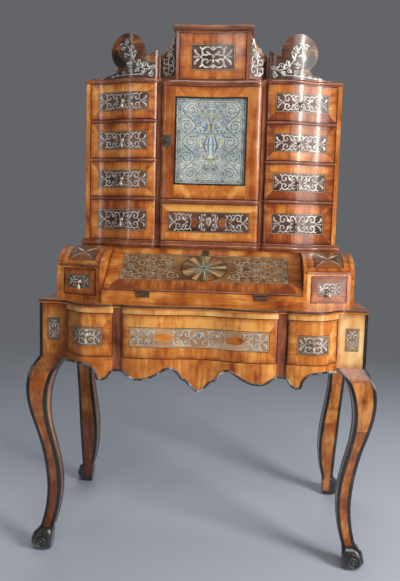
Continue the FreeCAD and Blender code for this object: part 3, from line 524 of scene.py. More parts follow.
coil_lines, buttons = [], []
for a, sideways in ((coil_x, False), (coil_y, True)):
    rows, thick = [], []
    for share in (k / (coil_steps - 1) for k in range(coil_steps)):
        turn = math.radians(coil_start) - share * coil_turns * 2 * math.pi
        reach = coil_radius * (1 - coil_wound * share)
        across = reach * math.cos(turn) * (-1 if sideways else 1)
        hit = on_foot(a + across, coil_z + reach * math.sin(turn), sideways)
        if hit is not None:
            rows.append(tuple(hit))
            thick.append(coil_thick - coil_thinned * share)
    coil_lines.append((np.array(rows), np.array(thick)))
    out = Vector((1, 0, 0)) if sideways else Vector((0, -1, 0))
    button = [tuple(on_foot(a, coil_z, sideways) + out * lift) for lift in button_lifts]
    buttons.append((np.array(button), np.array(button_radii)))
coils = worked("volutes", coil_lines + buttons, round_bead, Spacing=1.6, Sides=8, Finish=foot_carved)
coil_points = [tuple(v.co) for v in coils.vertices]
coil_faces = [tuple(f.vertices) for f in coils.polygons]
feet_points, feet_faces, feet_index = [], [], []
for side, end in itertools.product((1, -1), repeat=2):
    base = len(feet_points)
    block, skin = (foot_block, foot_skin) if end > 0 else (rear_block, rear_skin)
    whole = block + coil_points
    feet_points += [(side * x, middle_y + end * (y - middle_y), z) for x, y, z in whole]
    for number, face in enumerate(skin + [tuple(len(block) + k for k in face) for face in coil_faces]):
        x, y, z = np.mean([whole[k] for k in face], axis=0)
        on_leg = x < rear_x_out - strip_width and y > mirrored_y(rear_y_out) + strip_width
        on_edge = x < rear_x_in + inner_edge and y > mirrored_y(rear_y_in) - inner_edge
        veneered = int(end < 0 and on_leg and not on_edge and z > veneer_foot_z)
        feet_index.append(veneered if number < len(skin) else 2)
        shifted = tuple(base + k for k in face)
        feet_faces.append(shifted if side * end > 0 else shifted[::-1])
feet = make_piece("carved_feet", feet_points, feet_faces, [foot_carved, leg_walnut, coil_glint_finish],
                  "carcass", "ebonised", feet_index, 50.0)
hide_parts("scroll_feet")

# Corner blocks: the square heads of the legs. Their fronts are walnut leaves with upright grain, paler on the
# right block as painted light, round a tall panel of dark wood in a black and a pale line, with pewter scrolls
# sawn into it.
leaf_lift, leaf_sunk, bend_step, too_small = 0.4, 0.5, 3.0, 1e-4
cut_edge_tone = 0.3
inlay_step, inlay_proud, inlay_limit = 1.4, 0.02, 0.45
leaf_pick = np.random.default_rng(1740)
block_inner_x, stand_board_z = 372.0, 725.0
hands = ((-1, "left"), (1, "right"))


def run_line(poles):
    """Points along one run of a front line, from its poles."""
    poles = np.array(poles, float)
    t = np.linspace(0, 1, 161)[:, None]
    n = len(poles) - 1
    return sum(math.comb(n, k) * (1 - t) ** (n - k) * t ** k * poles[k] for k in range(n + 1))


def ease(a, b):
    """An S-shaped run that leaves and arrives parallel to the front."""
    return run_line([a, ((a[0] + b[0]) / 2, a[1]), ((a[0] + b[0]) / 2, b[1]), b])


def swell(crest, notch, outward):
    """A run between a crest and a notch, square to the front at the notch."""
    poles = [crest, (notch[0], crest[1]), notch]
    return run_line(poles[::-1] if outward else poles)


def front_line(runs, plane_y):
    """Depth of a serpentine front at any width, the same on both sides of the middle."""
    line = np.concatenate([np.array(run, float) for run in runs])
    return lambda x: plane_y - np.interp(np.abs(x), line[:, 0], line[:, 1])


stand_line = front_line([
    ease((0, 43), (145, 62)), swell((145, 62), (210, 50), False), [(210, 50), (234, 50)],
    swell((305, 62), (234, 50), True), ease((305, 62), (400, 0)), [(400, 0), (454, 0)]], block_y)


def slope_of(line, x):
    """How steeply a front line runs back at a width."""
    return (line(x + 0.05) - line(x - 0.05)) / 0.1


def on_front(line, shift=0.0):
    """Lays width, height and lift on a serpentine front, with the lift square to its face."""
    def lay(u, v, h):
        slope = slope_of(line, u)
        size = np.sqrt(1 + slope ** 2)
        return np.stack([u + h * slope / size, line(u) + shift - h / size, v + 0 * u], -1)
    return lay


def on_flat(origin, across, up):
    """Lays width, height and lift on a flat board."""
    origin, across, up = (np.array(v, float) for v in (origin, across, up))
    out = np.cross(across, up)

    def lay(u, v, h):
        return origin + sum(np.multiply.outer(a, way) for a, way in ((u, across), (v, up), (h + 0 * u, out)))
    return lay


def on_hand(side, *rects):
    """Rectangles drawn for the right hand, turned over for the left one."""
    return rects if side > 0 else [(-u1, v0, -u0, v1) for u0, v0, u1, v1 in rects]


def inset(rect, by):
    """A rectangle drawn in by the same width all round."""
    return (rect[0] + by, rect[1] + by, rect[2] - by, rect[3] - by)


def middle_of(rect):
    """The middle of a rectangle."""
    return ((rect[0] + rect[2]) / 2, (rect[1] + rect[3]) / 2)


def corners_of(rect):
    """The four corners of a rectangle."""
    u0, v0, u1, v1 = rect
    return [(u0, v0), (u1, v0), (u1, v1), (u0, v1)]


def mitred(outer, inner):
    """Corners of the lower, upper, right and left strip between two rectangles."""
    a, b, c, d = zip(corners_of(outer), corners_of(inner))
    return [[p[0], q[0], q[1], p[1]] for p, q in ((a, b), (c, d), (b, c), (d, a))]


def kept_side(corners, u, sign):
    """The part of a convex outline on one side of an upright line."""
    kept = []
    for a, b in pairs(corners):
        da, db = (a[0] - u) * sign, (b[0] - u) * sign
        if da >= 0:
            kept.append(a)
        if da * db < 0:
            share = da / (da - db)
            kept.append((a[0] + (b[0] - a[0]) * share, a[1] + (b[1] - a[1]) * share))
    return kept


def bends(low, high):
    """The places between two widths where a leaf is cut so that it can bend."""
    inner = range(math.floor(low / bend_step) + 1, math.ceil(high / bend_step))
    return [low, *(k * bend_step for k in inner), high]


class Marquetry:
    """Thin leaves laid edge to edge on one face of a board, gathered into one mesh."""

    def __init__(self, lay, rect, turned_over=False):
        self.lay, self.rect, self.turned_over, self.found = lay, rect, turned_over, {}
        self.faces, self.index, self.tones, self.grain, self.edge, self.finishes = ([] for k in range(6))

    def face(self, corners, finish, turn, tone, mirror_u):
        """One flat part of a leaf, with the turn of its grain and how far it is from the sheet's edge."""
        if finish not in self.finishes:
            self.finishes.append(finish)
        corners = corners[::-1] if self.turned_over else corners
        c, s = math.cos(math.radians(turn)), math.sin(math.radians(turn))
        u0, v0, u1, v1 = self.rect
        keys = [tuple(round(value, 3) for value in corner) for corner in corners]
        self.faces.append([self.found.setdefault(key, len(self.found)) for key in keys])
        self.index.append(self.finishes.index(finish))
        self.tones.append(tone)
        for u, v, h in corners:
            a = u if mirror_u is None else abs(u - mirror_u)
            self.grain.append(((a * c + v * s) * mm, (v * c - a * s) * mm))
            self.edge.append(max(0.0, min(u - u0, u1 - u, v - v0, v1 - v)))

    def leaf(self, corners, finish, turn=0.0, tone=None, mirror_u=None, lift=leaf_lift):
        """One leaf with a convex outline, cut into narrow strips so that it can bend."""
        tone = float(leaf_pick.random()) if tone is None else tone
        corners = [(float(u), float(v)) for u, v in corners]
        if sum(a[0] * b[1] - b[0] * a[1] for a, b in pairs(corners)) < 0:
            corners = corners[::-1]
        cuts = bends(min(u for u, v in corners), max(u for u, v in corners))
        for low, high in zip(cuts, cuts[1:]):
            strip = kept_side(kept_side(corners, low, 1), high, -1)
            clean = [p for p, q in pairs(strip) if abs(p[0] - q[0]) + abs(p[1] - q[1]) > too_small]
            if len(clean) > 2:
                self.face([(u, v, lift) for u, v in clean], finish, turn, tone, mirror_u)

    def field(self, rect, finish, turn=0.0, tone=None, mirror_u=None):
        """One plain rectangular leaf."""
        self.leaf(corners_of(rect), finish, turn, tone, mirror_u)

    def border(self, outer, inner, finish, crossed=False, bands=None, lift=leaf_lift):
        """Four mitred leaves between two rectangles, with the grain along them or crossbanded in mirror image."""
        middle = middle_of(outer)[0]
        for k, corners in enumerate(mitred(outer, inner)):
            turn = 90.0 if crossed == (k < 2) else 0.0
            tone = bands[k] if bands else None
            if crossed and k < 2:
                tone = float(leaf_pick.random()) if tone is None else tone
                for sign in (1, -1):
                    self.leaf(kept_side(corners, middle, sign), finish, turn, tone, middle, lift)
            else:
                self.leaf(corners, finish, turn, tone, None, lift)

    def wall(self, rect, finish, top, foot, inward=False):
        """An upright cut edge round a rectangle, that looks out of it or into it."""
        u0, v0, u1, v1 = rect
        cuts = bends(u0, u1)
        for a, b in pairs([(u, v0) for u in cuts] + [(u, v1) for u in cuts[::-1]]):
            corners = [(*a, foot), (*b, foot), (*b, top), (*a, top)]
            self.face(corners[::-1] if inward else corners, finish, 0.0, cut_edge_tone, None)

    def rim(self, finish):
        """The cut edge of the whole sheet, down into the board."""
        self.wall(self.rect, finish, leaf_lift, -leaf_sunk)

    def done(self, name, body):
        """The finished sheet as a piece."""
        laid = self.lay(*np.array(list(self.found)).T)
        mesh = make_piece(name, laid, self.faces, self.finishes, body, "walnut", self.index).data
        mesh.uv_layers.new(name="grain").data.foreach_set("uv", np.array(self.grain).ravel())
        mesh.attributes.new("leaf", "FLOAT", "FACE").data.foreach_set("value", self.tones)
        mesh.attributes.new("from_edge", "FLOAT", "CORNER").data.foreach_set("value", self.edge)


walnut_leaf = wood_finish("walnut_leaf", walnut)
lit_side_walnut = wood_finish("painted_light_walnut", ((0.44, 0.19, 0.055), (0.60, 0.33, 0.12), (0.70, 0.47, 0.22)))
ground_leaf = wood_finish("inlay_ground", ((0.034, 0.015, 0.010), (0.085, 0.038, 0.026), (0.155, 0.078, 0.052)))
brown_ground = wood_finish("brown_ground", ((0.085, 0.042, 0.022), (0.175, 0.095, 0.054), (0.27, 0.16, 0.095)))
black_leaf = wood_finish("black_line", ((0.006, 0.005, 0.005), (0.014, 0.010, 0.009), (0.030, 0.020, 0.016)))
pale_leaf = wood_finish("pale_line", ((0.34, 0.22, 0.10), (0.52, 0.37, 0.19), (0.66, 0.51, 0.30)))


def metal_finish(name, bright, tarnish, rough, coarse=60.0, scored=0.25, metal=0.45):
    """Old soft metal: rubbed bright, tarnished in clouds, with fine scratches from the scraper."""
    finish, tree = new_finish(name)
    place = put(tree, "ShaderNodeTexCoord", give="Object")
    cloud = noise(tree, place, coarse, 5.0, Roughness=0.6)
    long = put(tree, "ShaderNodeMapping",
               {"Vector": place, "Rotation": (0.3, 0.5, 0.7), "Scale": (90, 2600, 2600)})
    scratch = noise(tree, long, 1.0, 1.0)
    dull = ramp(tree, cloud, 0.3, 0.7, rough, rough + 0.16)
    colour = mixed(tree, ramp(tree, cloud, 0.36, 0.64), bright, tarnish)
    close_finish(tree, {"Base Color": colour, "Metallic": metal,
                        "Roughness": calc(tree, "ADD", dull, calc(tree, "MULTIPLY", scratch, 0.1))},
                 scratch, scored, 0.0002)
    return finish


pewter = metal_finish("pewter", (0.66, 0.63, 0.58), (0.34, 0.30, 0.26), 0.32)

inlay_line, given = work_group("inlay_line", {"Spacing": "Float", "Crown": "Vector"})
line = put(inlay_line, "GeometryNodeSetCurveNormal", {"Curve": given["Geometry"]}, mode="Z_UP")
line = put(inlay_line, "GeometryNodeResampleCurve", {"Curve": line, "Length": given["Spacing"]}, mode="LENGTH")
section = put(inlay_line, "GeometryNodeCurveQuadraticBezier",
              {"Resolution": 2, "Start": (-1, 0, 0), "Middle": given["Crown"], "End": (1, 0, 0)})
ribbon = put(inlay_line, "GeometryNodeCurveToMesh", {"Curve": line, "Profile Curve": section,
                                                     "Scale": put(inlay_line, "GeometryNodeInputRadius")})
close_work(inlay_line, put(inlay_line, "GeometryNodeSetShadeSmooth", {"Geometry": ribbon}), given["Finish"])


def smooth_row(points):
    """A smooth row of points through a few given ones, with seven to each step."""
    p = np.array(points, float)
    p = np.vstack([2 * p[0] - p[1], p, 2 * p[-1] - p[-2]])
    t = np.linspace(0, 1, 7, endpoint=False)[:, None]
    rows = [0.5 * (2 * b + (c - a) * t + (2 * a - 5 * b + 4 * c - d) * t ** 2 + (3 * b - a - 3 * c + d) * t ** 3)
            for a, b, c, d in zip(p[:-3], p[1:-2], p[2:-1], p[3:])]
    return np.vstack(rows + [p[-2:-1]])


def stem(points, width, head=0.35, tail=0.9):
    """A scroll line: thin where it leaves, full along its run, and blunt at its curled end."""
    row = smooth_row(points)
    s = np.linspace(0, 1, len(row))
    grow = head + (1 - head) * np.clip(s / 0.3, 0, 1) ** 0.7
    ending = tail + (1 - tail) * np.clip((1 - s) / 0.12, 0, 1)
    return row, width / 2 * grow * ending


def petal(start, end, width, bend=0.0):
    """A leaf with a pointed foot and a round tip."""
    start, end = np.array(start, float), np.array(end, float)
    t = np.linspace(0, 1, 12)
    side = np.array([start[1] - end[1], end[0] - start[0]])
    row = start + np.multiply.outer(t, end - start) + np.multiply.outer(np.sin(math.pi * t) * bend, side)
    return row, width / 2 * np.sqrt(np.clip(t, 0, 1)) * np.sqrt(np.clip(1 - t ** 3, 0.0, 1)) * 1.25 + 0.05


def drawn(stems, petals=(), wide=1.0, unit=100.0):
    """Stems and leaves from tables of points in parts of a unit, with their widths and shapes."""
    return ([stem(np.array(points) / unit, wide * width, *ends) for points, width, *ends in stems]
            + [petal(np.array(start) / unit, np.array(end) / unit, wide * width, *bend)
               for start, end, width, *bend in petals])


def fitted(lines, half_width, half_height, left=0.0, right=1.0):
    """Lines drawn on a unit panel, brought to a panel's own size and to a part of its width."""
    scale = np.array([half_width * (right - left), half_height])
    return [(row * scale + np.array([half_width * left, 0.0]), width) for row, width in lines]


def flipped(lines, across=0.0):
    """Lines turned over from left to right, in a panel that reaches so far across."""
    return [(row * (-1, 1) + (across, 0.0), width) for row, width in lines]


def doubled(lines, upright=True):
    """Lines with their mirror images to the left, and below too."""
    whole = list(lines)
    if upright:
        whole += [(row * (1, -1), width) for row, width in lines]
    return whole + flipped(whole)


def square_scrolls(wide):
    """A quarter of the scrollwork of a nearly square panel."""
    return drawn([([(5, 60), (18, 82), (38, 80), (52, 52), (45, 22), (29, 18), (22, 36), (32, 46)], 1),
                  ([(46, 24), (53, 9), (62, 0)], 0.8)],
                 [((60, 10), (86, 66), 1.7, -0.12), ((62, 0), (93, 0), 1.8), ((52, 54), (64, 84), 1.2, 0.1),
                  ((24, 34), (9, 18), 1.3), ((2, 56), (5, 92), 1.5)], wide)


def long_scrolls(wide):
    """A quarter of the scrollwork of a long panel, from its middle to its end."""
    return drawn([([(5, 2), (8, 40), (18, 78), (28, 62), (26, 34), (19, 38)], 0.85),
                  ([(17, 0), (28, 14), (40, 56), (53, 86), (67, 66), (65, 26), (56, 20), (51, 42), (57, 54)], 1),
                  ([(28, 64), (35, 84), (46, 76)], 0.7), ([(65, 26), (71, 10), (77, 0)], 0.8)],
                 [((76, 10), (92, 70), 1.6, -0.12), ((78, 0), (97, 0), 1.7), ((67, 68), (77, 90), 1.2, 0.1),
                  ((40, 52), (34, 22), 1.3, 0.1), ((10, 56), (4, 88), 1.2)], wide)


def saw_inlay(name, body, lay, lines, centre=(0.0, 0.0), finish=pewter, slot="engraved", lift=leaf_lift,
              crown=0.16):
    """Scroll lines sawn from sheet metal and let into a face, each a low crowned ribbon."""
    flat = [(np.column_stack([row, np.zeros(len(row))]), width) for row, width in lines]
    mesh = worked(name, flat, inlay_line, Spacing=inlay_step, Crown=(0.0, -2.0 * crown, 0.0), Finish=finish)
    places = np.zeros(len(mesh.vertices) * 3)
    mesh.vertices.foreach_get("co", places)
    u, v, h = places.reshape(-1, 3).T
    laid = lay(u + centre[0], v + centre[1], np.minimum(h, inlay_limit) + lift + inlay_proud) * mm
    mesh.vertices.foreach_set("co", laid.ravel())
    mesh.update()
    set_piece(name, mesh, body)


def inlaid_panel(sheet, rect, ground, black=1.7, both=2.6, tone=None):
    """A panel of another wood inside a black and a pale line."""
    sheet.border(rect, inset(rect, black), black_leaf)
    sheet.border(inset(rect, black), inset(rect, both), pale_leaf)
    sheet.field(inset(rect, both), ground, 0.0, tone)


dress("corner_blocks", walnut_upright)
block_rect = (block_inner_x + 0.4, leg_height + 0.4, block_half_width - 0.6, stand_board_z - 0.4)
block_panel = (394.0, 621.5, 431.0, 684.5)
for side, hand in hands:
    rect, panel = on_hand(side, block_rect, block_panel)
    sheet = Marquetry(on_front(stand_line), rect)
    u0, v0, u1, v1 = rect
    a0, b0, a1, b1 = panel
    for strip in ((u0, v0, u1, b0), (u0, b1, u1, v1), (u0, b0, a0, b1), (a1, b0, u1, b1)):
        # The right block's leaves are a paler walnut: painted light and sheen on the lit side.
        sheet.field(strip, walnut_leaf if side < 0 else lit_side_walnut, 90.0, 0.5)
    inlaid_panel(sheet, panel, brown_ground)
    sheet.rim(walnut_leaf)
    sheet.done(hand + "_block_veneer", "carcass")
    upright_scrolls = [(row[:, ::-1], width) for row, width in fitted(square_scrolls(2.3), 28.3, 15.4)]
    saw_inlay(hand + "_block_inlay", "carcass", on_front(stand_line), doubled(upright_scrolls), middle_of(panel))

block_strips = []
for side, (y, into_y) in itertools.product((1, -1), ((block_y, 1), (back_y, -1))):
    sections = [corner_strip((side * block_half_width, y), -side, into_y, z)
                for z in (leg_height - 0.6, stand_board_z - 0.4)]
    block_strips.append((sections, -side * into_y < 0))
make_piece("block_edge_strips", *lofted(*block_strips), [ebonised], "carcass", "ebonised")

# Stand: serpentine rails and apron veneered across the grain, purple kingwood in the notches beside the
# wide drawer, plain boards inside, and a black bead nailed along the apron's sawn edge, paler in patches as
# painted glints.
kingwood = ((0.085, 0.021, 0.009), (0.215, 0.062, 0.024), (0.345, 0.125, 0.052))
oak = ((0.16, 0.085, 0.035), (0.30, 0.175, 0.080), (0.44, 0.29, 0.15))
walnut_crossed = wood_finish("walnut_crossed", walnut, "Z", 0.085, "X")
walnut_along = wood_finish("walnut_along", walnut, "X", 0.0)
walnut_deep = wood_finish("walnut_deep", walnut, "Y", 0.16, "Z")
# A paler walnut for the top rail: partly its own lighter crossband, partly painted sheen.
walnut_pale_and_sheen = wood_finish("walnut_pale_and_sheen", ((0.41, 0.15, 0.034), (0.62, 0.30, 0.085), (0.76, 0.45, 0.165)),
                          "Z", 0.085, "X")
kingwood_upright = wood_finish("kingwood_upright", kingwood, "Z")
kingwood_along = wood_finish("kingwood_along", kingwood, "X")
oak_along = wood_finish("oak_along", oak, "X", 0.11, "Z", polish=0.05)
oak_deep = wood_finish("oak_deep", oak, "Y", 0.12, "X", polish=0.05)
dress("top_rail", walnut_pale_and_sheen)
dress("apron", walnut_crossed, oak_along, rule=lambda place, way: int(way.y > 0.3))
dress("pilasters", kingwood_upright)
dress("stand_sides", walnut_deep, oak_deep, rule=lambda place, way: int(way.x * place.x < 0))
dress("dust_board", oak_deep)
dress("stand_partitions", oak_deep)
apron_faces = struck("apron")
apron_bead_radius, apron_bead_step, apron_bead_sunk, apron_bead_up = 3.7, 2.0, 1.2, 1.5
notch_x, notch_half, notch_z = 222.0, 12.4, 553.2
below_apron = 400.0
apron_lines = []
for low, high in ((-371.4, -234.6), (-209.4, 209.4), (234.6, 371.4)):
    row = []
    for x in np.arange(low, high + 0.01, (high - low) / round((high - low) / apron_bead_step)):
        depth = float(stand_line(x)) + 2 * apron_bead_sunk
        edge = meet(apron_faces, (x, depth, below_apron), (0, 0, 1))[2]
        row.append((x, depth - apron_bead_sunk, edge + apron_bead_up))
    apron_lines.append((np.array(row), apron_bead_radius))
for x in (-notch_x, notch_x):
    depth = float(stand_line(x)) + apron_bead_sunk
    row = [(x + dx, depth, notch_z) for dx in np.linspace(-notch_half, notch_half, 7)]
    apron_lines.append((np.array(row), apron_bead_radius))
# The bead is black with pale patches that are painted glints.
black_with_glints = black_finish("black_with_glints", (0.014, 0.012, 0.011), (0.46, 0.40, 0.35), 0.20, 1.0, 0.46)
apron_bead = resized(worked("apron_bead", apron_lines, round_bead, Spacing=2.2, Sides=10, Finish=black_with_glints))
set_piece("apron_bead", apron_bead, "carcass")

# Stand drawers: a wide one between the notches and a short one on each side of it. Their fronts are crossbanded
# walnut round an inlaid panel, the boxes behind them oak, with turned brass collars behind the pulls.
front_thick, front_gap, gap_shadow_width, over_leaf = 18.0, 0.15, 1.3, 0.03
stand_drawer_low, stand_drawer_high = 590.8, 710.2
post_before, box_behind = 1.0, 0.6
brass = metal_finish("brass", (0.76, 0.68, 0.54), (0.44, 0.36, 0.25), 0.24, 190.0, 0.15, 0.7)
tan_ground = wood_finish("tan_ground", ((0.17, 0.085, 0.040), (0.30, 0.170, 0.088), (0.43, 0.27, 0.15)))
collar_outline = ((5.2, 0.2), (5.4, 0.7), (5.1, 1.2), (4.3, 1.6), (4.0, 2.3), (3.5, 2.7), (2.7, 2.8))
shield = ((0.0, 10.5), (3.0, 9.0), (4.6, 10.0), (6.2, 7.2), (5.4, 3.5), (6.6, 0.5), (5.6, -3.8), (3.2, -7.4),
          (1.4, -9.2), (0.0, -11.0))


def drawer_front(name, line, rect, panel, lines, thick=front_thick, ground=ground_leaf, bands=None):
    """Veneers one drawer: a black line and black cut edge round it as painted shadow of the gap, mitred
    crossbanding, inlaid panel and its scrollwork.
    """
    def part(place, way):
        before = float(line(place.x)) - place.y
        return 2 if before > post_before else int(before < -thick + box_behind)
    dress(name, walnut_upright, oak_deep, brass, rule=part)
    sheet = Marquetry(on_front(line), inset(rect, front_gap))
    # A black line round the front and a black cut edge: painted shadow of the gap round the drawer.
    sheet.border(sheet.rect, inset(rect, gap_shadow_width), black_leaf)
    sheet.border(inset(rect, gap_shadow_width), panel, walnut_leaf, True, bands)
    inlaid_panel(sheet, panel, ground)
    sheet.rim(black_leaf)
    sheet.done(name + "_veneer", name)
    saw_inlay(name + "_inlay", name, on_front(line), lines, middle_of(panel))


def pull_collar(name, line, x, z):
    """The small turned collar between a drop pull's post and the drawer, square to the drawer's front."""
    dress(name + "_drop", brass)
    axis = Vector((float(slope_of(line, x)), -1.0, 0.0)).normalized()
    side = axis.cross(Vector((0, 0, 1))).normalized()
    up = axis.cross(side)
    foot = Vector((x, float(line(x)), z))
    ways = [side * math.cos(turn) + up * math.sin(turn) for turn in (2 * math.pi * k / 24 for k in range(24))]
    rings = [[tuple(foot + axis * reach + way * radius) for way in ways] for radius, reach in collar_outline]
    make_piece(name + "_collar", *lofted((rings, True)), [brass], name, "brass", crease=60.0)


def keyhole_plate(name, body, lay, centre, outline, finish, slot, thick=0.9, hole=1.0):
    """A thin plate cut to an outline given by its right half, with a rounded edge and a dark keyhole."""
    half = np.array(outline, float)
    ring = np.vstack([half, half[::-1][1:-1] * (-1, 1)])
    levels = ((1.0, -0.3), (1.0, thick * 0.55), (0.90, thick), (0.45, thick * 1.25))
    stack = [[(*(point * share), leaf_lift + lift) for point in ring] for share, lift in levels]
    rows, faces = lofted((stack, False))
    del faces[-2]
    index = [0] * len(faces)
    turns = np.linspace(0, 2 * math.pi, 14, endpoint=False)
    eye = [(1.7 * hole * math.cos(turn), 1.5 + 1.7 * hole * math.sin(turn)) for turn in turns]
    bit = [(-1.0 * hole, -4.2 * hole), (1.0 * hole, -4.2 * hole), (0.7 * hole, 1.0), (-0.7 * hole, 1.0)]
    for cut in (eye, bit):
        faces.append(tuple(range(len(rows), len(rows) + len(cut))))
        rows += [(u, v, leaf_lift + thick * 1.25 + 0.12) for u, v in cut]
        index.append(1)
    u, v, h = np.array(rows).T
    make_piece(name, lay(u + centre[0], v + centre[1], h), faces, [finish, ebonised], body, slot, index, 50.0)


def lay_lozenges(name, line, panel, outline, finish, tone):
    """A pair of leaves let into a drawer's panel, one on each side of its keyhole plate."""
    sheet = Marquetry(on_front(line), panel)
    for side in (-1, 1):
        points = [(side * u, middle_of(panel)[1] + v) for u, v in outline]
        sheet.leaf(points, finish, 0.0, tone, None, leaf_lift + over_leaf)
    sheet.done(name + "_lozenges", name)


wide_rect = (-208.5, stand_drawer_low, 208.5, stand_drawer_high)
wide_panel = (-188.0, 621.5, 188.0, 676.5)
wide_lines = (fitted(long_scrolls(3.2), 185.2, 24.7, 0.62, 1.0)
              + fitted(flipped(long_scrolls(2.8), 1.0), 185.2, 24.7, 0.02, 0.40))
drawer_front("wide_drawer", stand_line, wide_rect, wide_panel, doubled(wide_lines), ground=tan_ground,
             bands=(0.5, 1.4, 0.1, 0.4))
wide_lozenge = ((69, 0), (79, 9), (97, 12), (114, 9), (124, 0), (114, -9), (97, -12), (79, -9))
lay_lozenges("wide_drawer", stand_line, wide_panel, wide_lozenge, walnut_leaf, 0.45)
keyhole_plate("wide_drawer_keyplate", "wide_drawer", on_front(stand_line), (0.0, 656.0), shield, brass, "brass")
short_rect, short_panel = (235.5, stand_drawer_low, 370.5, stand_drawer_high), (260.0, 619.0, 347.0, 672.0)
short_lines = doubled(fitted(square_scrolls(3.4), 40.7, 23.7))
for side, hand in hands:
    name = hand + "_stand_drawer"
    rect, panel = on_hand(side, short_rect, short_panel)
    drawer_front(name, stand_line, rect, panel, short_lines, ground=brown_ground)
    pull_collar(name, stand_line, side * 303.0, 650.5)

# Stand top: one walnut board over the drawers, with a dark half-round bead worked along its front and sides.
# The bead's section is drawn as a curved nose and run along the board's edge.
moulding_sunk, moulding_crease, path_step = 1.5, 40, 3.0
edge_moulding, given = work_group(
    "edge_moulding", {label: "Vector" for label in ("Top", "Upper Pull", "Lower Pull", "Foot")})
line = put(edge_moulding, "GeometryNodeSetCurveNormal", {"Curve": given["Geometry"]}, mode="Z_UP")
nose = put(edge_moulding, "GeometryNodeCurvePrimitiveBezierSegment",
           {"Resolution": 8, "Start": given["Top"], "Start Handle": given["Upper Pull"],
            "End Handle": given["Lower Pull"], "End": given["Foot"]})
nose = put(edge_moulding, "GeometryNodeSetSplineCyclic", {0: nose, "Cyclic": True})
run = put(edge_moulding, "GeometryNodeCurveToMesh", {"Curve": line, "Profile Curve": nose, "Fill Caps": True})
close_work(edge_moulding, put(edge_moulding, "GeometryNodeSetShadeSmooth", {"Geometry": run}), given["Finish"])


def run_moulding(name, path, top, foot, reach, finish=kingwood_along):
    """A moulding along a level path, from a top to a foot, that stands out by a reach."""
    sunk, drop = moulding_sunk, top - foot
    pull = reach * 1.33 + sunk * 0.33
    section = {"Top": (-sunk, 0.0, 0.0), "Upper Pull": (pull, 0.0, 0.0), "Lower Pull": (pull, drop, 0.0),
               "Foot": (-sunk, drop, 0.0)}
    mesh = worked(name, [(np.array([(x, y, top) for x, y in path]), 1.0)], edge_moulding, Finish=finish, **section)
    resized(mesh).set_sharp_from_angle(angle=math.radians(moulding_crease))
    set_piece(name, mesh, "carcass")


def front_path(line, x0, x1, forward=0.0):
    """Points along a front line between two widths, moved forward."""
    xs = np.linspace(x0, x1, max(2, int(abs(x1 - x0) / path_step)))
    return [(x, float(line(x)) - forward) for x in xs]


def wrapped_path(line, half, forward, behind, count, gap):
    """Points from behind along the left side, the front and the right side, with a small gap at the corners."""
    front = float(line(half)) - forward
    left = [(-half, y) for y in np.linspace(behind, front, count)]
    right = [(half, y) for y in np.linspace(front, behind, count)]
    return left + front_path(line, gap - half, half - gap, forward) + right


dress("stand_top", walnut_along)
edge_black = black_finish("edge_black", (0.046, 0.018, 0.010), (0.19, 0.066, 0.028), 0.25)
table_path = wrapped_path(stand_line, block_half_width, forward=3.0, behind=279.0, count=20, gap=0.4)
run_moulding("table_edge_bead", table_path, 734.8, 728.6, 2.2, edge_black)

# Desk: the hinge rail and boards of the sloping case. A box stands at each end with a curved top that is
# inlaid with a rayed square, and a small drawer in a slanted frame under a kingwood ledge.
desk_z, box_z, desk_front_y = 880.0, 831.0, -85.2
crown_inner_x, crown_outer_x, box_arc = 287.0, 410.0, 125.0
desk_line = front_line([[(0, -9), (277, -9)], [(277, -9), (420, -57)], [(420, -57), (460, -57)]], block_y)
dress("hinge_rail", walnut_along)
dress("desk_floor", oak_along)
dress("desk_partitions", walnut_deep)
dress("desk_sides", walnut_deep)
dress("box_tops", walnut_crossed, oak_along, rule=lambda place, way: int(way.z < 0))
dress("box_frames", walnut_crossed)
dress("desk_top", walnut_along, oak_along, rule=lambda place, way: int(way.z < -0.5))


def on_crown(side):
    """Lays a width from the box's inner edge, an arc length and a lift on a curved box top."""
    def place(u, v):
        share = u / (crown_outer_x - crown_inner_x)
        start = float(desk_line(crown_inner_x)) * (1 - share) + float(desk_line(crown_outer_x)) * share
        t = v / box_arc
        run, rise = desk_front_y - start, desk_z - box_z
        y = start + 2 * t * (1 - t) * 0.3 * run + t * t * run
        z = box_z + 2 * t * (1 - t) * 0.8 * rise + t * t * rise
        return np.stack([side * (crown_inner_x + u), y, z + 0 * u], -1)

    def lay(u, v, h):
        across = place(u + 0.1, v) - place(u - 0.1, v)
        along = place(u, v + 0.1) - place(u, v - 0.1)
        out = np.cross(across, along) * side
        return place(u, v) + out / np.linalg.norm(out, axis=-1, keepdims=True) * h[..., None]
    return lay


cream_leaf = wood_finish("cream_ray", ((0.52, 0.38, 0.22), (0.70, 0.56, 0.37), (0.80, 0.69, 0.50)))
brown_leaf = wood_finish("brown_ray", ((0.045, 0.019, 0.009), (0.105, 0.044, 0.018), (0.18, 0.085, 0.036)))
red_leaf = wood_finish("red_ray", ((0.12, 0.035, 0.010), (0.24, 0.075, 0.020), (0.37, 0.14, 0.042)))
crown_rect, crown_square = (0.3, 0.5, 122.7, box_arc - 0.3), (19.0, 21.0, 103.0, 118.0)
crown_levels = np.linspace(crown_rect[1], crown_rect[3], 13)
crown_black, crown_both = 1.6, 2.4
ray_reach, ray_waist, ray_wide, ray_narrow, ray_over = 0.96, 0.40, 4.6, 2.6, 0.05


def lay_crown(corners, finish, turn, tone, lift=leaf_lift):
    """A leaf cut at every level too, because the box top bends along its length."""
    for low, high in zip(crown_levels[:-1], crown_levels[1:]):
        part = kept_side(kept_side([(v, u) for u, v in corners], low, 1), high, -1)
        if len(part) > 2:
            sheet.leaf([(u, v) for v, u in part], finish, turn, tone, None, lift)


